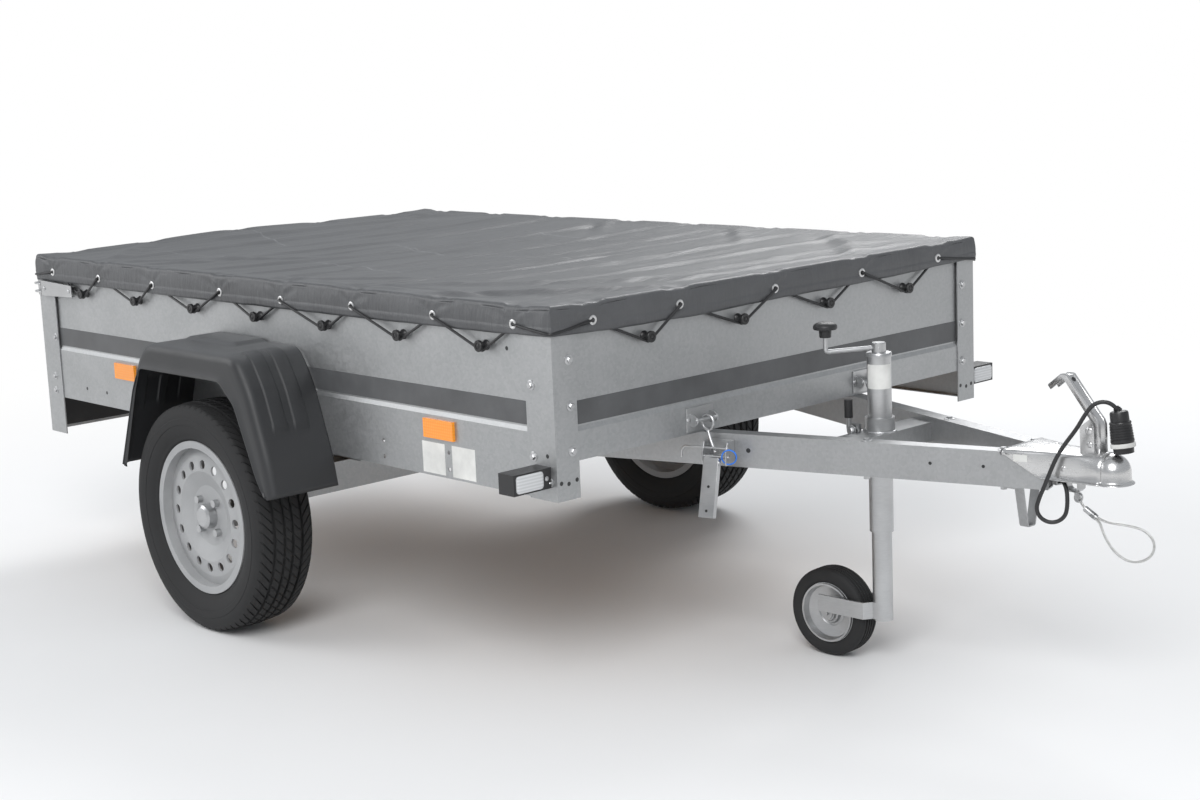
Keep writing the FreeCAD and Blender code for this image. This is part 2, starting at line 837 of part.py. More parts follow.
def drawbar():
    tube = cut("beam_tube", beam_block("beam_outer", "0", "0"), beam_block("beam_bore", "beam_wall", "20"))
    lug = box(
        "tilt_lug",
        ("tilt_x - tilt_lug_width / 2", "tilt_y - tilt_lug_gauge", "tilt_z - tilt_lug_height / 2"),
        ("front_x - beam_back + tilt_lug_gauge", "tilt_y", "tilt_z + tilt_lug_height / 2"),
    )
    bore = rod(
        "lug_bore",
        "y",
        ("tilt_x", "tilt_y - tilt_lug_gauge", "tilt_z"),
        "tilt_lug_gauge",
        "tilt_pin_radius + pin_clearance",
    )
    both_sides(cut("beam", fuse("beam_and_lug", tube, lug), bore), "drawbar_beam")
    middle = "beam_tip_half + (beam_tip_reach - crossbar_reach) * tan(beam_angle) - beam_width / 2"
    block = box(
        "crossbar_block",
        ("jockey_x - crossbar_width / 2", f"-({middle})", "crossbar_low"),
        ("jockey_x + crossbar_width / 2", middle, "crossbar_top"),
    )
    hollow = box(
        "crossbar_hollow",
        ("jockey_x - crossbar_width / 2 + crossbar_wall", f"-({middle})", "crossbar_low"),
        ("jockey_x + crossbar_width / 2 - crossbar_wall", middle, "crossbar_top - crossbar_wall"),
    )
    beam = beam_block("crossbar_end", "0", "0")
    sleeve_hole = rod("sleeve_hole", "z", ("jockey_x", "0", "crossbar_low"), "crossbar_height", "sleeve_radius")
    node(cut("crossbar", block, hollow, beam, mirrored(beam), sleeve_hole), "drawbar_crossbar")


# Coupling: pressed head with a ball socket, clasping the tips of the beams, and its handle
def coupling():
    side_view = [
        ("coupling_rear_reach", "beam_top"),
        ("beam_tip_reach", "beam_top"),
        ("beam_tip_reach", "coupling_lip"),
        ("nose_reach - 3", "coupling_lip"),
        ("nose_reach - 3", "ball_height"),
        ("ball_reach + 24", "beam_top + 2"),
        ("ball_reach", "coupling_top"),
        ("coupling_rear_reach", "coupling_top"),
    ]
    top_view = [
        ("coupling_rear_reach", "-26"),
        ("beam_tip_reach", "-coupling_half"),
        ("ball_reach - 20", "-coupling_half"),
        ("ball_reach - 20", "coupling_half"),
        ("beam_tip_reach", "coupling_half"),
        ("coupling_rear_reach", "26"),
    ]
    origin = ("front_x", "0", "0")
    side = extruded("coupling_side", "XZ_Plane", side_view, "200", origin, middle=True)
    top = extruded("coupling_plan", "XY_Plane", top_view, "coupling_top", origin)
    dome = ball("coupling_dome", ("ball_x", "0", "ball_height"), "dome_radius")
    skirt = rod("coupling_skirt", "z", ("ball_x", "0", "coupling_lip"), "ball_height - coupling_lip", "dome_radius")
    lip = rod("coupling_lip_ring", "z", ("ball_x", "0", "coupling_lip"), "coupling_gauge", "nose_reach - ball_reach")
    under = box("coupling_under", ("ball_x - 60", "-60", "coupling_lip - 60"), ("ball_x + 60", "60", "coupling_lip"))
    socket = ball("coupling_socket", ("ball_x", "0", "ball_height"), "socket_radius")
    mouth = rod("coupling_mouth", "z", ("ball_x", "0", "coupling_lip - 1"), "ball_height - coupling_lip + 1", "socket_radius")
    channel = box(
        "coupling_channel",
        ("front_x + beam_tip_reach - 1", "-(coupling_half - coupling_gauge)", "coupling_lip - 1"),
        ("ball_x - socket_radius - coupling_gauge", "coupling_half - coupling_gauge", "beam_top"),
    )
    solid = fuse("coupling_solid", common("coupling_neck", side, top), dome, skirt, lip)
    node(cut("coupling", solid, under, socket, mouth, channel), "coupling_head")
    lever = [
        ("ball_reach - 60", "coupling_top"),
        ("ball_reach - 20", "coupling_top"),
        ("ball_reach - 22", "coupling_top + 58"),
        ("ball_reach - 34", "coupling_top + 76"),
        ("ball_reach - 90", "coupling_top + 146"),
        ("ball_reach - 104", "coupling_top + 146"),
        ("ball_reach - 131", "coupling_top + 124"),
        ("ball_reach - 112", "coupling_top + 112"),
        ("ball_reach - 62", "coupling_top + 50"),
    ]
    handle = extruded("handle", "XZ_Plane", lever, "2 * handle_half", origin, middle=True)
    node(handle, "coupling_handle")


# Jockey wheel: clamp sleeve, outer tube and crank on the drawbar; leg, fork and wheel below
def jockey():
    sleeve = rod("sleeve_outer", "z", ("jockey_x", "0", "crossbar_low"), "sleeve_height", "sleeve_radius")
    hole = rod("sleeve_bore", "z", ("jockey_x", "0", "crossbar_low"), "sleeve_height", "jockey_tube_radius")
    node(cut("sleeve", sleeve, hole), "jockey_clamp")
    length = "jockey_tube_top - jockey_tube_low"
    tube = rod("jockey_outer", "z", ("jockey_x", "0", "jockey_tube_low"), length, "jockey_tube_radius")
    bore = rod("jockey_bore", "z", ("jockey_x", "0", "jockey_tube_low"), f"{length} - 8", "jockey_tube_bore")
    screw_hole = rod(
        "screw_hole",
        "z",
        ("jockey_x", "0", "jockey_tube_low"),
        length,
        "jockey_screw_radius + pin_clearance",
    )
    node(cut("jockey_casing", tube, bore, screw_hole), "jockey_tube")
    hub = rod("crank_hub", "z", ("jockey_x", "0", "jockey_tube_top"), "12", "jockey_tube_radius / 2")
    arm = rod("crank_arm", "x", ("-crank_reach", "0", "0"), "crank_reach", "crank_radius")
    riser = rod("crank_riser", "z", ("-crank_reach", "0", "-crank_radius"), "crank_rise", "crank_radius")
    screw_low = "jockey_leg_top - jockey_leg_drop"
    screw = rod("screw", "z", ("jockey_x", "0", screw_low), f"jockey_tube_top - ({screw_low})", "jockey_screw_radius")
    head = rod("crank_head", "z", ("-crank_reach", "0", "crank_rise - crank_radius"), "18", "knob_head_radius")
    crank = fuse("crank", arm, riser, head)
    turn_by(crank, Z_AXIS, "crank_turn")
    place(crank, ("jockey_x", "0", "jockey_tube_top + 6"))
    node(fuse("crank_set", hub, screw, crank), "jockey_crank")
    nut_low = "jockey_leg_top - jockey_nut_height"
    collar = rod("collar", "z", ("jockey_x", "0", "jockey_leg_top + nut_gap"), "collar_height", "jockey_leg_radius")
    neck = rod("neck", "z", ("jockey_x", "0", nut_low), "jockey_nut_height + nut_gap", "jockey_leg_bore - nut_gap")
    thread = rod(
        "thread",
        "z",
        ("jockey_x", "0", nut_low),
        "jockey_nut_height + nut_gap + collar_height",
        "jockey_screw_radius + pin_clearance",
    )
    node(cut("nut_set", fuse("nut_body", neck, collar), thread), "jockey_nut")


def jockey_leg():
    """Leg and fork in their own frame: leg axis at the origin, wheel behind it."""
    leg = rod("leg_outer", "z", ("0", "0", "jockey_leg_low"), "jockey_leg_top - jockey_leg_low", "jockey_leg_radius")
    bore = rod("leg_bore", "z", ("0", "0", "jockey_leg_low"), "jockey_leg_top - jockey_leg_low", "jockey_leg_bore")
    inside = "jockey_wheel_width / 2 + fork_gap"
    arm = [
        ("0", "jockey_leg_radius - fork_gauge"),
        ("0", "jockey_leg_radius"),
        ("-12", "jockey_leg_radius"),
        ("-24", f"{inside} + fork_gauge"),
        ("-(jockey_trail + 14)", f"{inside} + fork_gauge"),
        ("-(jockey_trail + 14)", inside),
        ("-24", inside),
        ("-12", "jockey_leg_radius - fork_gauge"),
    ]
    fork = extruded("fork_arm", "XY_Plane", arm, "fork_height", ("0", "0", "jockey_leg_low + 3"))
    spindle = rod(
        "fork_spindle",
        "y",
        ("-jockey_trail", f"-({inside})", "jockey_wheel_radius"),
        f"2 * ({inside})",
        "jockey_axle_radius",
    )
    hollow = cut("leg_tube", leg, bore)
    clear = rod("fork_clear", "z", ("0", "0", "jockey_leg_low"), "fork_height + 10", "jockey_leg_bore")
    arms = cut("fork_arms", fuse("fork_pair", fork, mirrored(fork)), clear)
    whole = fuse("leg_set", hollow, arms, spindle)
    turn_by(whole, Z_AXIS, "jockey_turn")
    node(place(whole, ("jockey_x", "0", "0")), "jockey_leg")


def jockey_wheel():
    half = "jockey_wheel_width / 2"
    tyre = [
        (f"-({half})", "jockey_rim_radius"),
        (f"-({half})", "jockey_wheel_radius - 14"),
        (f"-({half} - 7)", "jockey_wheel_radius - 2"),
        (f"-({half} - 14)", "jockey_wheel_radius"),
        (f"{half} - 14", "jockey_wheel_radius"),
        (f"{half} - 7", "jockey_wheel_radius - 2"),
        (half, "jockey_wheel_radius - 14"),
        (half, "jockey_rim_radius"),
    ]
    rim = [
        (f"-({half})", "jockey_rim_radius"),
        (half, "jockey_rim_radius"),
        (half, "jockey_rim_radius - 4"),
        (f"{half} - 14", "jockey_rim_radius - 8"),
        (f"{half} - 20", "24"),
        (f"{half} - 4", "18"),
        (f"{half} - 4", "jockey_axle_radius + bearing_gap"),
        (f"-({half} - 4)", "jockey_axle_radius + bearing_gap"),
        (f"-({half} - 4)", "18"),
        (f"-({half} - 20)", "24"),
        (f"-({half} - 14)", "jockey_rim_radius - 8"),
        (f"-({half})", "jockey_rim_radius - 4"),
    ]
    centre = (
        "jockey_x - jockey_trail * cos(jockey_turn)",
        "-jockey_trail * sin(jockey_turn)",
        "jockey_wheel_radius",
    )
    for label, outline in (("jockey_tyre", tyre), ("jockey_rim", rim)):
        body = turned(label + "_body", outline)
        turn_by(body, Z_AXIS, "jockey_turn")
        node(place(body, centre), label)


# Tipping pins, one through each beam's lug and the two ears of the axle beside it
def tilt_pins():
    start = "tilt_y - 2 * tilt_lug_gauge - tilt_ear_gap"
    length = "3 * tilt_lug_gauge + 2 * tilt_ear_gap"
    pin = rod("tilt_pin", "y", ("tilt_x", start, "tilt_z"), length, "tilt_pin_radius")
    head = rod(
        "tilt_pin_head",
        "y",
        ("tilt_x", f"{start} - tilt_pin_radius", "tilt_z"),
        "tilt_pin_radius",
        "tilt_pin_radius * 1.6",
    )
    one_pair(fuse("tilt_pin_set", pin, head), "tilt_pins")


bed()
tailgate()
tailgate_hinge()
axle()
wheels()
both_sides(wheel_guard(), "wheel_guard")
cover()
lamps()
drawbar()
coupling()
jockey()
jockey_leg()
jockey_wheel()
tilt_pins()

document.recompute()

# Every feature has to be sound before any file is written
failed = [item.Name for item in document.Objects if {"Invalid", "Error"} & set(item.State)]
for piece in NODES:
    shape = piece.Shape
    if shape.isNull() or not shape.isValid() or not shape.Solids:
        failed.append(piece.Label)
if failed:
    raise RuntimeError("failed: " + ", ".join(failed))

os.makedirs("parts", exist_ok=True)
for piece in NODES:
    piece.Shape.exportStep(f"parts/{piece.Label}.step")
    print(piece.Label, len(piece.Shape.Solids), round(piece.Shape.Volume))
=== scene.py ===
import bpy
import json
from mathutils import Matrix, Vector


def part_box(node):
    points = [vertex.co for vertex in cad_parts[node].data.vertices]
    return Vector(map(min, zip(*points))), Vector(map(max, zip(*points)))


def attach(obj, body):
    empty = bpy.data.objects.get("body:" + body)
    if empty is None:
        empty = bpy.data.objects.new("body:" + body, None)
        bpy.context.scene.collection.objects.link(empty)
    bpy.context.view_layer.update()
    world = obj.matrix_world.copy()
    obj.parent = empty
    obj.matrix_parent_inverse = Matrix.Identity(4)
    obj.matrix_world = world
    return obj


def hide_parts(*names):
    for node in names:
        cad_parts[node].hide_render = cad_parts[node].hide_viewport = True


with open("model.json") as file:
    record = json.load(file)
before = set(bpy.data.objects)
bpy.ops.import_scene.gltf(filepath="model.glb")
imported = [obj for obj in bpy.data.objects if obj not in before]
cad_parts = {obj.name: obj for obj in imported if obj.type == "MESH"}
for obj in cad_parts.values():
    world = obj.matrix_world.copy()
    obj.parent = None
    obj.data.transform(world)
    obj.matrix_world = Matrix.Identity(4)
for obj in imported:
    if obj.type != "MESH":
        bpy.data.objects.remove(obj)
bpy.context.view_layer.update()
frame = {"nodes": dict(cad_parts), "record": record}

import json
import math

import bmesh
import bpy
from mathutils import Matrix, Vector, noise

# Utility trailer. Metres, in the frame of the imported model: X forward, Y to the left, Z up.
MM = 0.001
NODES = frame["nodes"]


# Camera at the photograph's place
def make_camera():
    yaw, pitch, roll = 0.859, -0.176, -0.049
    ahead = Vector((
        -math.sin(yaw) * math.cos(pitch),
        math.cos(yaw) * math.cos(pitch),
        math.sin(pitch),
    ))
    level = Vector((math.cos(yaw), math.sin(yaw), 0))
    upward = level.cross(ahead)
    right = level * math.cos(roll) + upward * math.sin(roll)
    up = upward * math.cos(roll) - level * math.sin(roll)
    data = bpy.data.cameras.new("camera")
    data.sensor_width = 36
    data.lens = 59.26
    data.shift_x = 0.0627
    data.shift_y = -0.0072
    data.clip_end = 200
    camera = bpy.data.objects.new("camera", data)
    turn = Matrix((right, up, -ahead)).transposed().to_4x4()
    camera.matrix_world = Matrix.Translation((3.4591, -3.1797, 1.3375)) @ turn
    bpy.context.scene.collection.objects.link(camera)
    bpy.context.scene.camera = camera


make_camera()


# Node graph of one procedural material
class Graph:
    def __init__(self, name, **sockets):
        self.material = bpy.data.materials.new(name)
        self.material.use_nodes = True
        self.tree = self.material.node_tree
        self.shader = self.tree.nodes["Principled BSDF"]
        self.place = self.add("ShaderNodeTexCoord").outputs["Object"]
        for socket, value in sockets.items():
            self.shader.inputs[socket.replace("_", " ")].default_value = value

    def add(self, kind, inputs=None, **settings):
        node = self.tree.nodes.new(kind)
        for key, value in settings.items():
            setattr(node, key, value)
        for key, value in (inputs or {}).items():
            self.put(node.inputs[key], value)
        return node

    def put(self, socket, value):
        if isinstance(value, bpy.types.NodeSocket):
            self.tree.links.new(value, socket)
        else:
            socket.default_value = value

    def stretched(self, scale):
        return self.add("ShaderNodeMapping", {"Vector": self.place, "Scale": scale}).outputs[0]

    def noise(self, scale, detail=4, roughness=0.55, stretch=None):
        place = self.stretched(stretch) if stretch else self.place
        inputs = {"Vector": place, "Scale": scale, "Detail": detail, "Roughness": roughness}
        return self.add("ShaderNodeTexNoise", inputs).outputs["Fac"]

    def remap(self, value, low, high, to_low=0, to_high=1):
        inputs = {"Value": value, "From Min": low, "From Max": high, "To Min": to_low, "To Max": to_high}
        return self.add("ShaderNodeMapRange", inputs).outputs[0]

    def math(self, operation, first, second=0.0):
        node = self.add("ShaderNodeMath", operation=operation)
        self.put(node.inputs[0], first)
        self.put(node.inputs[1], second)
        return node.outputs[0]

    def weighted(self, *pairs):
        """Sum of values, each times its weight."""
        total = None
        for value, weight in pairs:
            share = self.math("MULTIPLY", value, weight)
            total = share if total is None else self.math("ADD", total, share)
        return total

    def blend(self, factor, first, second):
        """Colour between two colours. The mix node's colours are sockets 6 and 7, and its result is 2."""
        node = self.add("ShaderNodeMix", {"Factor": factor}, data_type="RGBA")
        for socket, value in ((6, first), (7, second)):
            if not isinstance(value, bpy.types.NodeSocket):
                value = (*value, 1)
            self.put(node.inputs[socket], value)
        return node.outputs[2]

    def split(self, vector):
        return self.add("ShaderNodeSeparateXYZ", {"Vector": vector}).outputs

    def bump(self, height, strength=0.3, distance=0.001, below=None):
        inputs = {"Height": height, "Strength": strength, "Distance": distance}
        if below is not None:
            inputs["Normal"] = below
        return self.add("ShaderNodeBump", inputs).outputs[0]

    def finish(self, colour=None, roughness=None, normal=None):
        for socket, value in (("Base Color", colour), ("Roughness", roughness), ("Normal", normal)):
            if value is not None:
                self.put(self.shader.inputs[socket], value)
        return self.material


def zinc(name, dark, light, roughness=(0.38, 0.55), metal=0.85, streak=(6, 6, 60)):
    """Galvanised sheet: cloudy patches, faint streaks and small crystals."""
    graph = Graph(name, Metallic=metal)
    cloud = graph.noise(7, 6, 0.6)
    lines = graph.noise(14, 5, 0.6, streak)
    crystal = graph.add("ShaderNodeTexVoronoi", {"Vector": graph.place, "Scale": 170.0}).outputs["Color"]
    grain = graph.add("ShaderNodeSeparateColor", {"Color": crystal}).outputs[0]
    mixed = graph.weighted((cloud, 0.5), (lines, 0.3), (grain, 0.2))
    shade = graph.remap(mixed, 0.3, 0.7)
    colour = graph.blend(shade, dark, light)
    rough = graph.remap(mixed, 0.3, 0.7, *roughness)
    normal = graph.bump(mixed, 0.12, 0.0006)
    return graph.finish(colour, rough, normal)


def plated(name, dark, light, roughness=(0.22, 0.34)):
    """Zinc plated steel: soft clouds of shade and fine scratches, nearly smooth."""
    graph = Graph(name, Metallic=0.92)
    cloud = graph.noise(9, 4, 0.55)
    scratch = graph.noise(60, 3, 0.6, (1, 1, 7))
    mixed = graph.weighted((cloud, 0.75), (scratch, 0.25))
    shade = graph.remap(mixed, 0.35, 0.65)
    rough = graph.remap(mixed, 0.35, 0.65, *roughness)
    return graph.finish(graph.blend(shade, dark, light), rough, graph.bump(scratch, 0.05, 0.0003))


def moulded(name, colour, painted_top_light):
    """Grained black plastic, painted lighter on its upper faces: a painted highlight where the light from
    above falls.
    """
    graph = Graph(name)
    cloud = graph.noise(6, 5, 0.6)
    fine = graph.noise(500, 2, 0.5)
    upward = graph.split(graph.add("ShaderNodeNewGeometry").outputs["Normal"])[2]
    # Painted highlight: faces that point up get the lighter colour, mottled by the cloud
    grey = graph.math("MULTIPLY", graph.remap(upward, 0.45, 0.98), graph.remap(cloud, 0.25, 0.7, 0.6, 1))
    tone = graph.blend(grey, colour, painted_top_light)
    rough = graph.remap(cloud, 0.3, 0.7, 0.42, 0.54)
    return graph.finish(tone, rough, graph.bump(fine, 0.35, 0.0003))


def plastic(name, colour, roughness=0.5, grain=900, depth=0.25, wear=None):
    """Moulded plastic with a fine grain and slight changes of shade."""
    graph = Graph(name)
    cloud = graph.noise(9, 5, 0.6)
    fine = graph.noise(grain, 2, 0.5)
    other = wear or [channel * 1.5 + 0.01 for channel in colour]
    tone = graph.blend(graph.remap(cloud, 0.35, 0.75), colour, other)
    rough = graph.remap(cloud, 0.3, 0.7, roughness - 0.06, roughness + 0.08)
    return graph.finish(tone, rough, graph.bump(fine, depth, 0.0003))


def rubber(name, colour, roughness=0.75):
    graph = Graph(name)
    cloud = graph.noise(5, 6, 0.65)
    fine = graph.noise(420, 3, 0.6)
    tone = graph.blend(graph.remap(cloud, 0.35, 0.7), colour, [channel * 1.9 + 0.006 for channel in colour])
    rough = graph.remap(cloud, 0.3, 0.7, roughness - 0.1, roughness + 0.1)
    return graph.finish(tone, rough, graph.bump(fine, 0.25, 0.0004))


def cloth(name, dark, light, creases=()):
    """Coated cloth: a fine woven net under the coating, cloudy sheen, and pale lines of painted highlight
    along the creases.
    """
    graph = Graph(name)
    wave = graph.add("ShaderNodeTexWave", {"Vector": graph.place, "Scale": 160.0}, bands_direction="X")
    weft = graph.add("ShaderNodeTexWave", {"Vector": graph.place, "Scale": 160.0}, bands_direction="Y")
    net = graph.math("MAXIMUM", wave.outputs["Fac"], weft.outputs["Fac"])
    cloud = graph.noise(3.2, 7, 0.62, (1.6, 1, 1))
    rub = graph.noise(17, 8, 0.7)
    streak = graph.noise(7, 6, 0.62, (3, 0.5, 1))
    mixed = graph.weighted((cloud, 0.5), (rub, 0.25), (streak, 0.25))
    tone = graph.blend(graph.remap(mixed, 0.36, 0.66), dark, light)
    rough = graph.remap(mixed, 0.3, 0.7, 0.36, 0.52)
    # Painted highlight: pale lines along the fold crests, and their relief
    lines = 0.0
    wander = graph.remap(graph.noise(9, 3), 0.3, 0.7, -0.004, 0.004)
    broken = graph.remap(graph.noise(26, 4, 0.6), 0.4, 0.62, 0.25, 1)
    for (x0, y0), (x1, y1) in creases:
        run = math.hypot(x1 - x0, y1 - y0) * MM
        turn = math.atan2(y1 - y0, x1 - x0)
        middle = ((x0 + x1) / 2 * MM, (y0 + y1) / 2 * MM, 0)
        seen = graph.add("ShaderNodeMapping",
                         {"Vector": graph.place, "Location": middle, "Rotation": (0, 0, turn)},
                         vector_type="TEXTURE").outputs[0]
        along, across, _ = graph.split(seen)
        across = graph.math("ABSOLUTE", graph.math("ADD", across, wander))
        line = graph.math("MULTIPLY", graph.remap(across, 0.0008, 0.0032, 1, 0),
                          graph.remap(graph.math("ABSOLUTE", along), run * 0.42, run * 0.5, 1, 0))
        lines = graph.math("MAXIMUM", line, lines)
    shown = graph.math("MULTIPLY", lines, broken)
    # The crease lines are painted pale: a painted highlight
    tone = graph.blend(graph.math("MULTIPLY", shown, 0.5), tone, [channel * 3.2 for channel in light])
    # Small puckers along the turned edges
    x, y, _ = graph.split(graph.place)
    middle = (COVER_LOW.x + COVER_HIGH.x) / 2
    at_side = graph.remap(graph.math("ABSOLUTE", y), 0.62, 0.672)
    at_end = graph.remap(graph.math("ABSOLUTE", graph.math("SUBTRACT", x, middle)), 0.985, 1.037)
    side_pucker = graph.math("MULTIPLY", graph.noise(1, 4, 0.6, (75, 9, 14)), at_side)
    end_pucker = graph.math("MULTIPLY", graph.noise(1, 4, 0.6, (9, 75, 14)), at_end)
    pucker = graph.math("MAXIMUM", side_pucker, end_pucker)
    soft = graph.bump(streak, 0.35, 0.012)
    under = graph.bump(graph.math("ADD", pucker, graph.math("MULTIPLY", shown, 0.3)), 0.5, 0.004, soft)
    under = graph.bump(rub, 0.15, 0.002, under)
    return graph.finish(tone, rough, graph.bump(net, 0.05, 0.0004, under))


def wood(name):
    graph = Graph(name)
    grain = graph.noise(22, 8, 0.6, (0.6, 9, 9))
    tone = graph.blend(graph.remap(grain, 0.3, 0.72), (0.24, 0.14, 0.075), (0.44, 0.29, 0.17))
    return graph.finish(tone, graph.remap(grain, 0.3, 0.7, 0.45, 0.65), graph.bump(grain, 0.2, 0.0006))


def lamp(name, colour):
    """Clear coloured lens over a ribbed back."""
    graph = Graph(name, Roughness=0.12, Coat_Weight=0.6)
    ribs = graph.add("ShaderNodeTexWave", {"Vector": graph.place, "Scale": 50.0}, bands_direction="Z")
    cross = graph.add("ShaderNodeTexWave", {"Vector": graph.place, "Scale": 50.0}, bands_direction="X")
    cells = graph.math("MULTIPLY", ribs.outputs["Fac"], cross.outputs["Fac"])
    lit = [min(1, channel * 1.4 + 0.05) for channel in colour]
    tone = graph.blend(graph.remap(cells, 0, 1, 0, 0.5), colour, lit)
    return graph.finish(tone, None, graph.bump(cells, 0.25, 0.0008))


MATERIALS = {
    "panel": zinc("panel_zinc", (0.36, 0.37, 0.375), (0.47, 0.475, 0.48)),
    "beam": zinc("beam_zinc", (0.36, 0.365, 0.37), (0.45, 0.455, 0.46), (0.34, 0.48), 0.9, (40, 40, 6)),
    "bright": plated("bright_zinc", (0.44, 0.445, 0.45), (0.56, 0.565, 0.57), (0.28, 0.42)),
    "chrome": plated("plated_steel", (0.55, 0.55, 0.55), (0.68, 0.68, 0.68)),
    "blue": plastic("blue_ring", (0.02, 0.16, 0.62), 0.4, 500, 0.1),
    "rim": plastic("rim_paint", (0.34, 0.345, 0.35), 0.42, 700, 0.08, (0.42, 0.425, 0.43)),
    "tyre": rubber("tyre_rubber_shade", (0.009, 0.009, 0.0095)),
    # Guard: its second colour is a painted highlight on the upward faces
    "guard": moulded("guard_plastic", (0.026, 0.027, 0.029), (0.105, 0.108, 0.112)),
    "black": plastic("black_plastic_shade", (0.012, 0.012, 0.013), 0.38),
    "floor": wood("floor_plywood"),
    "amber": lamp("amber_lens", (1.0, 0.3, 0.004)),
    "red": lamp("red_lens", (0.42, 0.012, 0.01)),
    "clear": lamp("clear_lens", (0.55, 0.56, 0.57)),
    "cable": plastic("cable_rubber", (0.014, 0.014, 0.015), 0.42, 600, 0.2),
    "wire": zinc("cable_wire", (0.5, 0.5, 0.49), (0.68, 0.68, 0.67), (0.3, 0.45), 0.8, (30, 30, 30)),
    "white": plastic("white_plastic", (0.62, 0.62, 0.6), 0.45, 500, 0.1),
    "eyelet": zinc("eyelet_steel", (0.55, 0.55, 0.55), (0.74, 0.74, 0.74), (0.25, 0.4), 0.9, (30, 30, 30)),
    "stripe": plastic("stripe_film", (0.075, 0.077, 0.08), 0.42, 300, 0.05),
}

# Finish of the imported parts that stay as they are
FINISHES = {
    "panel": ["side_panel_left", "side_panel_right", "front_panel", "tailgate_panel", "front_post_left",
              "front_post_right", "rear_post_left", "rear_post_right", "rear_sill", "floor_members",
              "light_board", "tailgate_hinges", "axle_tube", "axle_arm_left", "axle_arm_right"],
    "beam": ["drawbar_beam_left", "drawbar_beam_right", "drawbar_crossbar"],
    "bright": ["coupling_head", "coupling_handle", "jockey_clamp", "jockey_tube", "jockey_leg", "jockey_nut",
               "tilt_pins", "hub_left", "hub_right", "jockey_rim", "jockey_crank"],
    "rim": ["rim_left", "rim_right"],
    "tyre": ["tyre_left", "tyre_right", "jockey_tyre"],
    "guard": ["wheel_guard_left", "wheel_guard_right"],
    "black": ["front_markers"],
    "floor": ["floor_board"],
    "amber": ["side_reflectors"],
    "red": ["rear_lamps"],
}
for finish, names in FINISHES.items():
    for name in names:
        NODES[name].data.materials.clear()
        NODES[name].data.materials.append(MATERIALS[finish])


# Gathers points and faces of one piece
class Shape:
    def __init__(self):
        self.points = []
        self.faces = []

    def rows(self, rows, closed=True, caps=False, turn=None):
        """Skin rows that have the same number of points."""
        start = len(self.points)
        width = len(rows[0])
        for row in rows:
            self.points.extend(turn @ Vector(point) if turn else Vector(point) for point in row)
        for index in range(len(rows) - 1):
            first = start + index * width
            for step in range(width if closed else width - 1):
                after = (step + 1) % width
                self.faces.append((first + step, first + after, first + width + after, first + width + step))
        if caps:
            self.faces.append(tuple(range(start + width - 1, start - 1, -1)))
            last = start + (len(rows) - 1) * width
            self.faces.append(tuple(range(last, last + width)))
        return self

    def lathe(self, profile, turn=None, steps=24):
        """Turn a profile of (height, radius) about Z."""
        rows = []
        for height, radius in profile:
            row = []
            for step in range(steps):
                angle = 2 * math.pi * step / steps
                row.append((radius * math.cos(angle), radius * math.sin(angle), height))
            rows.append(row)
        return self.rows(rows, turn=turn)

    def tube(self, path, radius, sides=10):
        """Round bar along a polyline, with caps."""
        path = [Vector(point) for point in path]
        normal = None
        rows = []
        for index, point in enumerate(path):
            ahead = path[min(index + 1, len(path) - 1)] - path[max(index - 1, 0)]
            ahead.normalize()
            if normal is None:
                normal = ahead.orthogonal().normalized()
            normal = (normal - ahead * normal.dot(ahead)).normalized()
            other = ahead.cross(normal)
            row = []
            for side in range(sides):
                angle = 2 * math.pi * side / sides
                row.append(point + (normal * math.cos(angle) + other * math.sin(angle)) * radius)
            rows.append(row)
        return self.rows(rows, caps=True)

    def plate(self, outline, low, high, turn=None):
        """Flat piece with an outline in X and Y, between two heights."""
        rows = [[(x, y, height) for x, y in outline] for height in (low, high)]
        return self.rows(rows, caps=True, turn=turn)

    def make(self, name, material, body, slot=None, replaces=(), angle=35, closed=True):
        mesh = bpy.data.meshes.new(name)
        mesh.from_pydata([tuple(point) for point in self.points], [], self.faces)
        work = bmesh.new()
        work.from_mesh(mesh)
        bmesh.ops.remove_doubles(work, verts=work.verts, dist=0.000001)
        if closed:
            bmesh.ops.recalc_face_normals(work, faces=work.faces)
        work.to_mesh(mesh)
        work.free()
        mesh.polygons.foreach_set("use_smooth", [True] * len(mesh.polygons))
        mesh.set_sharp_from_angle(angle=math.radians(angle))
        mesh.materials.append(MATERIALS[material])
        piece = bpy.data.objects.new(name, mesh)
        bpy.context.scene.collection.objects.link(piece)
        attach(piece, body)
        if replaces:
            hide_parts(*replaces)
        return piece


SCALE = Matrix.Scale(MM, 4)


def mirrored(turn):
    """Same placing on the other side of the middle plane."""
    return Matrix.Scale(-1, 4, (0, 1, 0)) @ turn


def block(shape, low, high, turn=SCALE):
    outline = [(low[0], low[1]), (high[0], low[1]), (high[0], high[1]), (low[0], high[1])]
    return shape.plate(outline, low[2], high[2], turn)


def rod(shape, path, radius, turn=SCALE, sides=12, rounded=True):
    """Round bar along points in millimetres, with its bends rounded unless told otherwise."""
    points = [Vector(point) for point in path]
    if rounded and len(points) > 2:
        points = refined(points)
    return shape.tube([turn @ point for point in points], radius * MM, sides)


def circle(middle, first, second, steps):
    """Closed loop of points about a middle, from the vectors to one point and to the point a quarter on."""
    middle, first, second = Vector(middle), Vector(first), Vector(second)
    angles = [2 * math.pi * step / steps for step in range(steps + 1)]
    return [middle + first * math.cos(angle) + second * math.sin(angle) for angle in angles]


def slab(shape, outline, axis, low, high, turn=SCALE):
    """Plate cut to an outline: in X and Z along Y, or in Y and Z along X."""
    rows = []
    for away in (low, high):
        rows.append([(a, away, b) if axis == "y" else (away, a, b) for a, b in outline])
    return shape.rows(rows, caps=True, turn=turn)


def facing(place, direction):
    """Matrix that puts the Z axis of a small part along a direction, at a place."""
    return Matrix.Translation(place) @ Vector(direction).to_track_quat("Z", "Y").to_matrix().to_4x4()


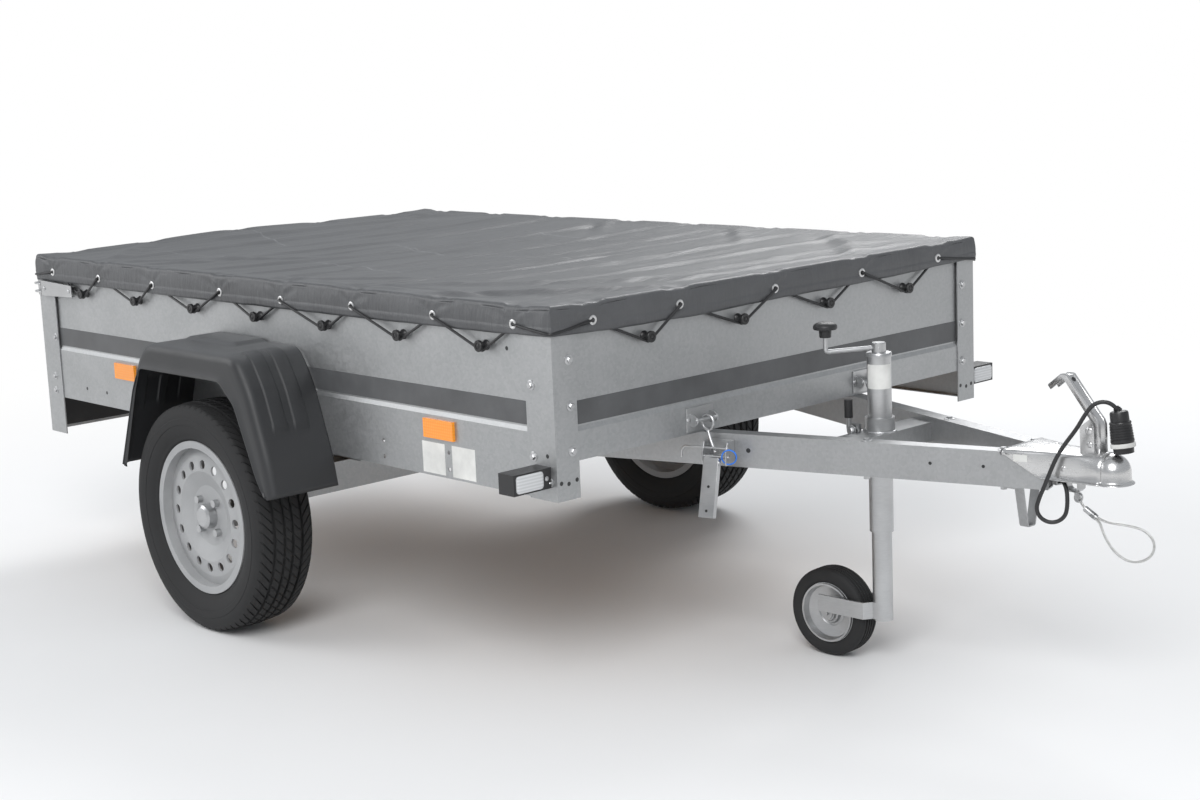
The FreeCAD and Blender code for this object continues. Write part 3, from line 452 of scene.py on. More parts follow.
def placed(place, direction, turn):
    """Matrix of a small part in millimetres, at a place and along a direction, both turned."""
    return facing(turn @ Vector(place), (turn.to_3x3() @ Vector(direction)).normalized()) @ SCALE


def bolt(shape, place, direction, radius, height, turn=SCALE):
    """Hexagon head on a washer."""
    at = placed(place, direction, turn)
    washer = 1.3
    shape.lathe(((-0.5, 0), (-0.5, radius * 1.6), (1, radius * 1.6), (washer, radius * 1.5), (washer, 0)), at,
                20)
    top = washer + height
    shape.lathe(((washer - 1, 0), (washer - 1, radius), (top - 1, radius), (top, radius * 0.85), (top, 0)),
                at, 6)


def dome(shape, place, direction, radius, height, turn=SCALE):
    """Round head of a rivet or a screw."""
    profile = [(-0.5, 0), (-0.5, radius)]
    for step in range(1, 6):
        angle = math.pi / 2 * step / 5
        profile.append((height * math.sin(angle), radius * math.cos(angle)))
    shape.lathe(profile, placed(place, direction, turn), 16)


def hole(shape, place, direction, radius, turn=SCALE):
    """Dark disc of painted shade that shows a hole in a sheet: it stands for the hole's shaded inside."""
    shape.lathe(((0.05, 0), (0.05, radius), (-0.4, radius), (-0.4, 0)), placed(place, direction, turn), 18)


def modified(piece, kind, **settings):
    """Keep the result of a modifier with these settings as the piece's mesh."""
    modifier = piece.modifiers.new(kind.lower(), kind)
    for key, value in settings.items():
        setattr(modifier, key, value)
    shown = bpy.data.meshes.new_from_object(piece.evaluated_get(bpy.context.evaluated_depsgraph_get()))
    piece.modifiers.clear()
    piece.data = shown


def bevelled(piece, width, segments=2):
    """Round the sharp edges of a hard piece."""
    modified(piece, "BEVEL", width=width * MM, segments=segments, limit_method="ANGLE",
             angle_limit=math.radians(40))


def thicken(piece, thickness, offset=0):
    """Give an open sheet its thickness."""
    modified(piece, "SOLIDIFY", thickness=thickness, offset=offset)


def rounded_outline(width, height, radius, steps=5):
    """Rectangle with round corners, about the origin."""
    outline = []
    for corner, (x, y) in enumerate(((1, 1), (-1, 1), (-1, -1), (1, -1))):
        for step in range(steps + 1):
            angle = math.pi / 2 * (corner + step / steps)
            outline.append((
                x * (width / 2 - radius) + radius * math.cos(angle),
                y * (height / 2 - radius) + radius * math.sin(angle),
            ))
    return outline


def smooth_step(value, low, high):
    share = min(1, max(0, (value - low) / (high - low)))
    return share * share * (3 - 2 * share)


# Free cables of the drawbar: routes from the middle of the ball socket
BALL = Vector(next(mount for mount in frame["record"]["mounts"] if mount["name"] == "ball_socket")["pos_m"])
PLUG_ROUTE = [
    (-114.5, -20, -21), (-103.2, -20, -21), (-92.8, -21, -27.6), (-85.5, -22.6, -38.5), (-81.5, -24.5, -53),
    (-79.6, -27.5, -75), (-82.8, -29.3, -92.5), (-94.3, -36.1, -104.5), (-109.7, -45, -106.4),
    (-123.1, -52.8, -97.4), (-129.4, -56.5, -81), (-120.5, -60, -58), (-108, -61, -33), (-96.1, -60, -3.7),
    (-85.6, -56, 24), (-71, -50, 51.3), (-51.7, -40, 81), (-41.6, -33.7, 103), (-31.2, -27.3, 122.2),
    (-22.6, -21.9, 130.4), (-14.1, -16.7, 133.6), (-5.2, -11.1, 133.1), (3.02, -6.19, 128.81),
    (7.7, -3.1, 123.1),
]
SAFETY_ROUTE = [
    (-74, 2, 14), (-74, 2, -20), (-74.4, 2, -52), (-71.5, 4.2, -70), (-65, 8, -81.5), (-53, 11.2, -91),
    (-32, 17, -103.2), (-13.5, 21, -106.5), (14.5, 28, -107.5), (40.5, 36, -112), (57.5, 42, -126),
    (63.5, 44, -145), (56.5, 42, -165), (35.5, 36, -178), (11.5, 30, -177.5),
    (-8.5, 24, -164), (-22, 19.8, -145), (-30, 17.6, -128), (-34.2, 16.5, -115), (-37.9, 15.4, -106.1),
    (-44.7, 13.55, -100.95),
]


def route(name, points, radius=0):
    """Smooth curve whose control points are a cable's route."""
    curve = bpy.data.curves.new(name, "CURVE")
    curve.dimensions = "3D"
    curve.resolution_u = 12
    curve.bevel_depth = radius
    curve.bevel_resolution = 5
    curve.use_fill_caps = True
    spline = curve.splines.new("NURBS")
    spline.points.add(len(points) - 1)
    for control, point in zip(spline.points, points):
        control.co = (*(BALL + Vector(point) * MM), 1)
    spline.order_u = 3
    spline.use_endpoint_u = True
    return bpy.data.objects.new(name, curve)


def make_cables():
    cable = route("plug_cable_curve", PLUG_ROUTE, 0.004)
    cable.data.materials.append(MATERIALS["cable"])
    bpy.context.scene.collection.objects.link(cable)
    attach(cable, "drawbar")
    plug = make_plug()

    line = route("safety_line", SAFETY_ROUTE)
    path = [vertex.co.copy() for vertex in bpy.data.meshes.new_from_object(line).vertices]
    bpy.data.objects.remove(line)
    wires = Shape()
    lay, strand, wound = 0.026, 0.00088, 0.00162
    dense = []
    for start, end in zip(path, path[1:]):
        count = max(1, round((end - start).length / 0.0016))
        dense.extend(start.lerp(end, step / count) for step in range(count))
    dense.append(path[-1])
    for number in range(7):
        points = []
        run = 0
        normal = None
        for index, point in enumerate(dense):
            ahead = (dense[min(index + 1, len(dense) - 1)] - dense[max(index - 1, 0)]).normalized()
            normal = ahead.orthogonal().normalized() if normal is None else normal
            normal = (normal - ahead * normal.dot(ahead)).normalized()
            if index:
                run += (point - dense[index - 1]).length
            angle = 2 * math.pi * (number / 6 + run / lay)
            away = wound if number < 6 else 0
            points.append(point + (normal * math.cos(angle) + ahead.cross(normal) * math.sin(angle)) * away)
        wires.tube(points, strand, 6)
    piece = wires.make("safety_cable_wires", "wire", "drawbar", "bright_steel", angle=60)
    ferrule = Shape()
    start, end = BALL + Vector((-65.3, 8, -81.5)) * MM, BALL + Vector((-43, 14, -98.5)) * MM
    for share, radius in ((0, 5.2), (0.06, 6.2), (0.46, 6.2), (0.5, 5.4), (0.54, 6.2), (0.94, 6.2)):
        ferrule.tube([start.lerp(end, share),
                      start.lerp(end, min(1, share + 0.42 if radius > 6 else share + 0.1))],
                     radius * MM, 14)
    crimp = ferrule.make("safety_cable_ferrule", "bright", "drawbar", "bright_steel")


def make_plug():
    """Seven-pin plug: a foot, a pale ring, a ribbed body and a cap, with its cable's sleeve on top."""
    foot = BALL + Vector((24.5, 0, 37.3)) * MM
    turn = Matrix.Translation(foot) @ Matrix.Rotation(math.radians(-8.57), 4, "Y") @ SCALE
    body = Shape()
    outline = [(0, 0), (0, 15), (1, 18.6), (11, 19), (12, 20), (21, 20.5), (22, 21.5), (24, 22)]
    for number in range(6):
        up = 25 + 5 * number
        outline += [(up, 21.8 - 0.25 * number), (up + 3, 21.6 - 0.25 * number),
                    (up + 3.4, 20.6 - 0.25 * number),
                    (up + 4.6, 20.6 - 0.25 * number)]
    outline += [(58, 20.4), (60, 19.6), (61, 17.5), (76, 17.2), (79, 16), (80.5, 13), (81, 8), (81, 0)]
    body.lathe(outline, turn, 40)
    start = BALL + Vector((13.6, 0.8, 115.9)) * MM
    end = BALL + Vector((7.7, -3.1, 123.1)) * MM
    for share, radius in ((0, 7), (0.35, 7), (0.4, 6.2), (0.7, 6.2), (0.75, 5.2)):
        body.tube([start.lerp(end, share), start.lerp(end, share + 0.25)], radius * MM, 16)
    piece = body.make("plug_shell", "black", "drawbar", "black_plastic")
    ring = Shape()
    ring.lathe([(12, 19.5), (12, 22.6), (13, 23), (19, 23), (20, 22.6), (20, 19.5)], turn, 40)
    ring.make("plug_ring", "white", "drawbar", "black_plastic")
    return piece


# Cover: top, skirts, eyelets and shock cord
COVER_LOW, COVER_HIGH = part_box("cover_sheet")
SIDE_EYELETS = [(-1350, 786), (-1106, 783), (-838, 782), (-529, 784), (-274, 782), (-3, 787), (280, 788),
                (533, 788)]
FRONT_EYELETS = [(-565, 790), (-321, 791), (-30, 789), (259, 790), (534, 793)]
SIDE_KNOBS = [435.5 - 271 * number for number in range(7)]
END_KNOBS = [-415.5 + 277 * number for number in range(4)]
KNOB_UP = 737.6
# Height of the hem along the sides and the ends
SIDE_HEM = [(-1442, 762), (-780, 761), (-36, 763), (234, 765), (500, 767), (642, 771)]
END_HEM = [(-678, 771), (-530, 765), (-265, 761.5), (14, 767), (225, 766.5), (367, 769.5), (678, 778)]
# Ridges of the top: ends in X and Y, height and half width, millimetres
RIDGES = [
    ((200, -655), (620, -300), 9, 22), ((-60, -640), (600, -70), 4.5, 24), ((243, 646), (597, 308), 8, 26),
    ((-1120, -650), (-1420, -330), 8, 28), ((-1150, 650), (-1420, 420), 7, 28),
    ((330, -650), (625, -440), -4, 16),
    ((-684, -640), (-551, 600), 5, 20), ((-351, -640), (-351, 640), 4.6, 18),
    ((-1176, -600), (-1167, 500), 5, 24),
    ((105, -560), (116, 600), 4.6, 20), ((427, -300), (448, 600), 4.2, 18),
    ((-900, -600), (-820, 640), 4.4, 20),
    ((-1320, -200), (-1290, 600), 4.8, 22), ((-220, -500), (-160, 640), 3.6, 16),
    ((260, -420), (300, 640), 4, 18),
    ((-510, -640), (-470, 300), 3.2, 14), ((-1020, -300), (-1000, 640), 3.4, 16),
    ((-40, -640), (-10, 100), 3.4, 14),
    ((-742, -655), (137, -618), 4, 16), ((-1109, -640), (-700, -250), 4, 20),
    ((-300, -650), (-80, -420), 4, 15),
    ((-100, 650), (150, 400), 4.4, 18), ((-600, 650), (-380, 420), 4.2, 18),
    ((560, -40), (420, 250), 3.6, 16),
    ((-760, -300), (-700, 500), 2.8, 13), ((-90, -300), (-60, 640), 3, 13), ((520, -250), (540, 560), 3, 14),
    ((10, -610), (420, -560), -3, 14), ((-420, -250), (-250, -655), 3.4, 14),
    ((-960, -655), (-840, -470), 3.6, 14),
]
# Lines of the top along which the cover material paints pale highlights
CREASES = [
    ((-1427, 3), (-1019, -142)), ((-790, 37), (-413, -82)), ((-676, -22), (-428, -66)),
    ((-400, -76), (-98, 26)),
    ((-98, 26), (155, -12)), ((155, -12), (404, -11)), ((404, -11), (601, -32)), ((112, 376), (43, 660)),
    ((112, 376), (519, 373)), ((166, 36), (88, 393)), ((-600, 380), (-240, 330)),
    ((-620, -350), (-180, -390)),
    ((-1200, -430), (-900, -395)), ((460, 60), (600, 420)),
]
# Folds of the skirts, by side: place at the top edge and at the hem, height and half width
SKIRT_FOLDS = {
    "right": [(566, 592, 2.6, 9), (598, 606, -1.6, 7), (628, 622, 2.4, 7), (470, 505, 1.2, 14),
              (330, 306, 1.3, 10),
              (60, 26, 1.3, 10), (-200, -244, 1.4, 11), (-1400, -1385, 2.2, 9), (-690, -662, 1.3, 12),
              (-960, -990, 1.4, 12), (-1180, -1150, 1.3, 10)],
    "left": [(560, 590, 2.4, 9), (330, 306, 1.3, 10), (-200, -244, 1.4, 11), (-700, -670, 1.3, 12),
             (-1400, -1385, 2.2, 9)],
    "front": [(-640, -650, 2.2, 8), (-500, -450, 2.2, 16), (-250, -200, 1.5, 16), (60, 110, 1.4, 15),
              (340, 300, 1.4, 14), (610, 590, 2, 10)],
    "rear": [(-620, -600, 2, 10), (-250, -200, 1.4, 15), (120, 90, 1.4, 14), (600, 620, 2, 10)],
}
EDGE_STEPS = [0, 0.6, 1.7, 3.3, 5.4, 8, 13, 20, 30]
DEPTH_STEPS = [0, 0.05, 0.12, 0.2, 0.3, 0.4, 0.5, 0.6, 0.66, 0.68, 0.8, 0.9, 1]
CLOTH_THICK = 0.0009


def read_table(table, along):
    """Value of a table of places and values, straight between its entries."""
    for (start, first), (end, last) in zip(table, table[1:]):
        if along <= end:
            return first + (last - first) * (along - start) / (end - start)
    return table[-1][1]


def side_hem(along):
    return read_table(SIDE_HEM, along)


def end_hem(along):
    return read_table(END_HEM, along)


def ridge_height(x, y):
    """Height that the ridges add at a point of the top."""
    total = 0
    for (x0, y0), (x1, y1), height, half in RIDGES:
        run = math.hypot(x1 - x0, y1 - y0)
        ahead = ((x - x0) * (x1 - x0) + (y - y0) * (y1 - y0)) / run
        if -half < ahead < run + half:
            away = ((x - x0) * (y1 - y0) - (y - y0) * (x1 - x0)) / run
            if abs(away) < 4 * half + 16:
                away += 16 * noise.noise((ahead * 0.006, height * 7.1, half))
                fade = smooth_step(ahead, -half, 4 * half)
                fade *= 1 - smooth_step(ahead, run - 4 * half, run + half)
                fade *= 0.75 + 0.5 * noise.noise((ahead * 0.01, half, height))
                side = math.exp(-(away / half) ** 2) - 0.5 * math.exp(-((away - 1.7 * half) / half) ** 2)
                total += height * fade * side
    return total


def pull_at(along, eyelets):
    """How strongly the nearest eyelet holds the cloth, from 0 to 1."""
    return math.exp(-(min(abs(along - place) for place, _ in eyelets) / 38) ** 2)


def gathers(along, above, eyelets):
    """Small folds that spread upwards from the nearest eyelet; both places are along the cloth."""
    place, up = min(eyelets, key=lambda eyelet: abs(along - eyelet[0]))
    across, rise = along - place, above - up
    reach = math.hypot(across, rise)
    if rise < -4 or reach > 100:
        return 0
    lean = math.atan2(across, rise) + 0.35 * noise.noise((reach * 0.03, place, 2))
    fade = smooth_step(reach, 9, 24) * (1 - smooth_step(reach, 50, 100))
    fade *= 1 - smooth_step(abs(lean), 1.0, 1.5)
    return 2.0 * fade * math.cos(lean * 7 + place)


def spaced(low, high, eyelets):
    """Places of the grid lines, closer together at both edges and beside the eyelets."""
    places = []
    spot = low + EDGE_STEPS[-1]
    while spot < high - EDGE_STEPS[-1] - 5:
        places.append(spot)
        spot += 6.5 if min(abs(spot - place) for place, _ in eyelets) < 48 else 15
    return [low + step for step in EDGE_STEPS] + places[1:] + [high - step for step in reversed(EDGE_STEPS)]


class Cover:
    """Surface of the tied cloth."""
    roll = 8

    def __init__(self):
        self.low_x = COVER_LOW.x / MM + 1.5
        self.high_x = COVER_HIGH.x / MM - 1
        self.edge_y = COVER_HIGH.y / MM - 1
        self.top = COVER_HIGH.z / MM - 0.6
        self.middle = (self.low_x + self.high_x) / 2
        self.half = (self.high_x - self.low_x) / 2
        self.lines_x = spaced(self.low_x, self.high_x, SIDE_EYELETS)
        self.lines_y = spaced(-self.edge_y, self.edge_y, FRONT_EYELETS)

    def at(self, x, y):
        from_side = self.edge_y - abs(y)
        from_front = self.high_x - x
        from_rear = x - self.low_x
        near = min(from_side, from_front, from_rear)
        calm = smooth_step(near, 0, 55)
        sag = 13 * (1 - (y / self.edge_y) ** 2) * (1 - ((x - self.middle) / self.half) ** 4)
        height = -sag + calm * ridge_height(x, y)
        height += calm * 2.6 * noise.noise((x * 0.006, y * 0.0025, 3))
        height += calm * 1.2 * noise.noise((x * 0.028, y * 0.006, 9))
        height += 9 * math.exp(-((x - self.low_x) / 260) ** 2) * math.exp(-((y + 60) / 260) ** 2)
        drop = 0
        held = 0
        borders = ((from_side, x, SIDE_EYELETS, True), (from_front, y, FRONT_EYELETS, True),
                   (from_rear, y, FRONT_EYELETS, False))
        for away, along, eyelets, rolls in borders:
            if away < 90:
                pull = pull_at(along, eyelets)
                inner = 1 - smooth_step(away, 0, 60)
                held += inner * (2.4 * (1 - pull) - 1.6 * pull)
                held += gathers(along, self.top + away, eyelets) * smooth_step(away, 0, 8)
            if rolls and away < self.roll:
                drop = max(drop, self.roll - math.sqrt(self.roll ** 2 - (self.roll - away) ** 2))
        height += held
        if near < 30:
            height = max(height, -1.2)
        return Vector((x, y, self.top + height - drop))

    def skirt(self, start, along, outward, side, eyelets, hem, share):
        """Point of a skirt, from the rolled edge (share 0) to the hem (share 1)."""
        pull = pull_at(along, eyelets)
        up = start.z + (hem - start.z) * share
        belly = math.sin(math.pi * min(1, share * 1.05)) * (2.6 - 2.0 * pull)
        wave = 1.6 * noise.noise((along * 0.02, 5, len(side)))
        wave += 0.9 * noise.noise((along * 0.06, 1, len(side)))
        out = belly + share * (1 - 0.8 * pull) * (wave + 1.2)
        out += gathers(along, up, eyelets) * smooth_step(share, 0, 0.12)
        out += 0.9 if share > 0.67 else 0
        for first, last, height, half in SKIRT_FOLDS[side]:
            away = along - (first + (last - first) * share)
            out += height * math.exp(-(away / half) ** 2) * math.sin(math.pi * min(1, share * 0.8 + 0.2))
        up += 1.3 * share * noise.noise((along * 0.012, 7, len(side)))
        return Vector((start.x, start.y, up)) + outward * max(-0.2, out)


# The cover material paints pale highlights along the CREASES lines
MATERIALS["cover"] = cloth("cover_coated_cloth", (0.072, 0.074, 0.078), (0.115, 0.118, 0.123), CREASES)


def make_cover():
    cover = Cover()
    cloth = Shape()
    cloth.rows([[cover.at(x, y) * MM for y in cover.lines_y] for x in cover.lines_x], closed=False)

    # Skirts hang from the rolled edge, along the left side, the front and the right side
    rim = [("left", x, cover.edge_y) for x in cover.lines_x]
    rim += [("front", cover.high_x, y) for y in cover.lines_y[-2:0:-1]]
    rim += [("right", x, -cover.edge_y) for x in cover.lines_x[::-1]]
    rows = [[] for _ in DEPTH_STEPS]
    for side, x, y in rim:
        start = cover.at(x, y)
        if side == "front":
            outward, along, eyelets, hem = Vector((1, 0, 0)), y, FRONT_EYELETS, end_hem(y)
        else:
            outward, along, eyelets, hem = Vector((0, math.copysign(1, y), 0)), x, SIDE_EYELETS, side_hem(x)
        if x == cover.high_x and side != "front":
            outward = Vector((0.8, 0.6 * math.copysign(1, y), 0))
        for row, share in zip(rows, DEPTH_STEPS):
            row.append(cover.skirt(start, along, outward, side, eyelets, hem, share) * MM)
    cloth.rows(rows, closed=False)
    piece = cloth.make("cover_cloth", "cover", "bed", "cover_cloth", ["cover_sheet"], angle=180, closed=True)
    thicken(piece, CLOTH_THICK)

    flap = Shape()
    rows = [[] for _ in DEPTH_STEPS]
    rear = COVER_LOW.x / MM + 1
    for y in cover.lines_y:
        start = cover.at(cover.low_x, y)
        for row, share in zip(rows, DEPTH_STEPS):
            edge = smooth_step(share, 0, 0.16)
            shifted = Vector((rear - 4.2 * edge, y, start.z - 1.5 - 3 * edge))
            row.append(cover.skirt(shifted, y, Vector((-1, 0, 0)), "rear", FRONT_EYELETS, end_hem(y),
                                   share) * MM)
    flap.rows(rows, closed=False)
    strip = flap.make("cover_flap_cloth", "cover", "tailgate", "cover_cloth", ["cover_rear_flap"], angle=180)
    thicken(strip, CLOTH_THICK)


KNOB = [(0, 0), (0, 11), (2, 11), (3, 10), (9, 7.4), (16.4, 7), (17, 11.4), (18, 12), (23, 12), (24, 11.2),
        (24, 6.5), (22.6, 6), (22.6, 4.6), (23.4, 4.2), (24, 2.6), (24, 0)]
KNOB_LENGTH = 24
KNOB_WAIST = 7
GROOVE_UP = 13
TIE_RADIUS = 3
TIE_BEHIND = 5.6
TIE_OVER = 5
EYELET = [(0.2, 4.6), (1.6, 4.8), (2.2, 6.2), (2.1, 8.4), (1.4, 9.9), (0.2, 10.2), (-0.8, 9.6)]


def cord_loop(first, knob, last):
    """Path in the plane of a side: from one hole, round below a knob, and up to the other."""
    centre = Vector(knob)
    reach = KNOB_WAIST + TIE_RADIUS
    ends = []
    for point in (Vector(first), Vector(last)):
        away = point - centre
        side = 1 if away.x < 0 else -1
        ends.append(math.atan2(away.y, away.x) + side * math.acos(reach / away.length))
    start, end = ends
    turn = 2 * math.pi
    if first[0] < knob[0]:
        end += turn * math.ceil((start - end) / turn)
    else:
        end -= turn * math.ceil((end - start) / turn)
    path = [Vector(first)]
    for step in range(13):
        angle = start + (end - start) * step / 12
        path.append(centre + Vector((math.cos(angle), math.sin(angle))) * reach)
    return path + [Vector(last)]


def refined(points):
    """Same polyline with its corners cut twice."""
    for _ in range(2):
        cut = [points[0]]
        for start, end in zip(points, points[1:]):
            cut += [start.lerp(end, 0.25), start.lerp(end, 0.75)]
        points = cut + [points[-1]]
    return points


def make_tie_side(place, outward, eyelets, spools, turning, proud, hem, shapes):
    """Eyelets, knobs and cord along one side of the cover."""
    ring, knob, tie = shapes
    for along, up in eyelets:
        ring.lathe(EYELET, facing(place(along, proud, up), outward) @ SCALE, 24)
    for index, along in enumerate(spools):
        knob.lathe(KNOB, facing(place(along, 0, KNOB_UP), outward) @ SCALE, 24)
        before, after = eyelets[index], eyelets[index + 1]
        shown, hidden = (after, before) if index < turning else (before, after)
        both_hidden = index == turning
        points = []
        for spot in cord_loop(shown, (along, KNOB_UP), hidden):
            goes_behind = both_hidden or (spot.x - along) * (hidden[0] - along) > 0
            deep = TIE_BEHIND if goes_behind else proud + TIE_OVER
            top = hem(spot.x) - 2 if goes_behind else KNOB_UP + 30
            rise = smooth_step(spot.y, KNOB_UP + 1, max(top, KNOB_UP + 6))
            points.append(place(spot.x, GROOVE_UP + (deep - GROOVE_UP) * rise, spot.y))
        if not both_hidden:
            points.insert(0, place(shown[0], proud + TIE_OVER, shown[1] + 1))
            points.insert(0, place(shown[0], proud - 2 * TIE_RADIUS, shown[1]))
        tie.tube(refined(points), TIE_RADIUS * MM, 10)


def make_tie_cord():
    """Eyelets, knobs and the shock cord, which goes from eyelet to knob and up behind the skirt."""
    bed_shapes = (Shape(), Shape(), Shape())
    gate_shapes = (Shape(), Shape(), Shape())
    out_y = COVER_HIGH.y / MM + 0.6
    out_front = COVER_HIGH.x / MM + 0.6
    out_rear = COVER_LOW.x / MM - 4.4
    side_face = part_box("cover_knobs")[1].y / MM - KNOB_LENGTH
    front_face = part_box("cover_knobs")[1].x / MM - KNOB_LENGTH
    gate_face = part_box("cover_knobs_rear")[1].x / MM
    for sign in (-1, 1):
        def on_side(along, out, up, sign=sign):
            return Vector((along, sign * (side_face + out), up)) * MM
        make_tie_side(on_side, (0, sign, 0), SIDE_EYELETS, SIDE_KNOBS[::-1], 3, out_y - side_face, side_hem,
                      bed_shapes)
    make_tie_side(lambda along, out, up: Vector((front_face + out, along, up)) * MM, (1, 0, 0), FRONT_EYELETS,
                  END_KNOBS, 2, out_front - front_face, end_hem, bed_shapes)
    make_tie_side(lambda along, out, up: Vector((gate_face - out, along, up)) * MM, (-1, 0, 0), FRONT_EYELETS,
                  END_KNOBS, 2, gate_face - out_rear, end_hem, gate_shapes)
    cord, gate_cord = bed_shapes[2], gate_shapes[2]
    for sign in (-1, 1):
        across = out_y + TIE_RADIUS
        for side, end, face, outward, tie in (
            (SIDE_EYELETS[-1], FRONT_EYELETS[0] if sign < 0 else FRONT_EYELETS[-1], out_front, 1, cord),
            (SIDE_EYELETS[0], FRONT_EYELETS[0] if sign < 0 else FRONT_EYELETS[-1], out_rear, -1, None),
        ):
            reach = face + outward * TIE_RADIUS
            around = [
                (side[0], sign * (out_y - TIE_RADIUS), side[1]),
                (side[0] + outward * 3, sign * across, side[1]),
                (reach - outward * 16, sign * (across + 1), 777),
                (reach - outward * 5, sign * (across - 1.5), 776),
            ]
            along = [
                (reach, sign * (across - 12), 776), (reach, end[0] + sign * 3, end[1]),
                (face - outward * TIE_RADIUS, end[0], end[1]),
            ]
            if tie:
                tie.tube(refined([Vector(point) * MM for point in around + along]), TIE_RADIUS * MM, 10)
            else:
                cord.tube(refined([Vector(point) * MM for point in around]), TIE_RADIUS * MM, 10)
                joined = [around[-1]] + along
                gate_cord.tube(refined([Vector(point) * MM for point in joined]), TIE_RADIUS * MM, 10)
    for shapes, body, tail in ((bed_shapes, "bed", ""), (gate_shapes, "tailgate", "_rear")):
        shapes[0].make("cover_eyelets" + tail, "eyelet", body, "bright_steel")
        shapes[1].make("cover_spools" + tail, "black", body, "black_plastic", ["cover_knobs" + tail])
        shapes[2].make("cover_tie" + tail, "cable", body, "black_plastic", angle=60)


# Road tyre with its tread
def make_tyre(side):
    low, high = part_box("tyre_" + side)
    centre = (low + high) / 2
    radius = (high.z - low.z) / 2 / MM
    wall = [
        (57.6, 170), (58.6, 184), (62, 187), (64, 190), (64.4, 194), (66.5, 197), (70, 206), (73.5, 216),
        (74.4, 222), (75.6, 223), (76.6, 230), (77.3, 236), (76.2, 238), (76.8, 244), (75, 254), (71.5, 262),
        (67, 267.2),
    ]
    grooves = ((-41, -34), (-14.5, -8), (8, 14.5), (34, 41))
    tread = [(-63, 0)]
    for start, end in grooves:
        tread += [(start - 0.8, 0), (start + 0.4, 6), (end - 0.4, 6), (end + 0.8, 0)]
    tread += [(63, 0)]
    pitches = 70
    shares = (0, 0.13, 0.17, 0.94)
    rows = []
    for across, out in wall:
        rows.append([(-across, out, share, 0, False) for share in shares])
    for across, deep in tread:
        crown = radius - 4.5 * (across / 63) ** 2
        rib = abs(across) > 41 or abs(across) < 8.9
        rows.append([(across, crown - deep, share, (5.5 if abs(across) > 41 else 3) if deep == 0 else 0, rib)
                     for share in shares])
    for across, out in wall[::-1]:
        rows.append([(across, out, share, 0, False) for share in shares])
    built = []
    for row in rows:
        ring = []
        for pitch in range(pitches):
            for across, out, share, deep, _ in row:
                slant = 0.0042 * abs(across) if abs(across) > 41 else -0.0036 * across
                angle = 2 * math.pi * (pitch + share) / pitches + slant
                sunk = deep if share in shares[:2] else 0
                if abs(across) > 62 and out > 262:
                    sunk = 3 if share in shares[:2] else 0
                reach = out - sunk
                ring.append((reach * math.cos(angle), across, reach * math.sin(angle)))
        built.append([Vector(point) * MM for point in ring])
    shape = Shape()
    shape.rows(built + [built[0]], turn=Matrix.Translation(centre))
    shape.make("road_tyre_" + side, "tyre", "wheel_" + side, "tyre_rubber", ["tyre_" + side], angle=32)


# Plain grey stripes round the bed
def make_trim():
    side_low, side_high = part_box("side_panel_right")
    heights = (0.5865, 0.6345)
    ends = (side_low.x + 0.051, side_high.x - 0.002)
    stripe = Shape()
    for side in (-0.6673, 0.6673):
        stripe.rows([[(x, side, z) for x in ends] for z in heights], closed=False)
    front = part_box("front_panel")[1].x - 0.0037
    stripe.rows([[(front, y, z) for y in (-0.612, 0.612)] for z in heights], closed=False)
    stripe.make("grey_stripes", "stripe", "bed", "zinc_sheet", closed=False)


# Wheel guard: moulded shell with round edges, two ribs on its front slope and a raised pad
GUARD_OUTER = [(-291, 373), (-214, 579), (-172, 656), (-140, 680), (238, 680), (287, 604), (342, 446),
               (357, 373)]
GUARD_ARCH = [(-280, 373), (-203, 565), (-183, 599), (-165, 617.5), (174, 618), (232, 571), (304, 410),
              (330, 373)]
GUARD_STEPS = [0, 3, 20, 38, 40.5, 43, 45.5, 60, 76.5, 79, 81.5, 84, 92, 97.5, 100, 102.5, 118, 133.5, 136,
               138.5,
               142, 150]
GUARD_RIBS = (42, 99)
GUARD_ROUND = 21
GUARD_LIP = 4


def smoothed(points, times):
    """Same points, each pulled towards its neighbours; both ends stay."""
    for _ in range(times):
        inner = [(before + point * 2 + after) / 4
                 for before, point, after in zip(points, points[1:], points[2:])]
        points = [points[0]] + inner + [points[-1]]
    return points


def guard_rise(x, z, away):
    """How far the pad or a rib stands out, at a point of the outline and a distance from the panel."""
    pad = smooth_step(x, -116, -96) * (1 - smooth_step(x, 90, 110)) * (1 - smooth_step(away, 76, 92))
    rise = 7 * pad if z > 660 else 0
    fade = (smooth_step(x, 196, 208) if z > 590 else 1) * smooth_step(z, 508, 520)
    for first in GUARD_RIBS:
        flank = smooth_step(away, first - 1.5, first + 2) * (1 - smooth_step(away, first + 36, first + 39.5))
        rise = max(rise, 4.2 * flank * fade)
    return rise


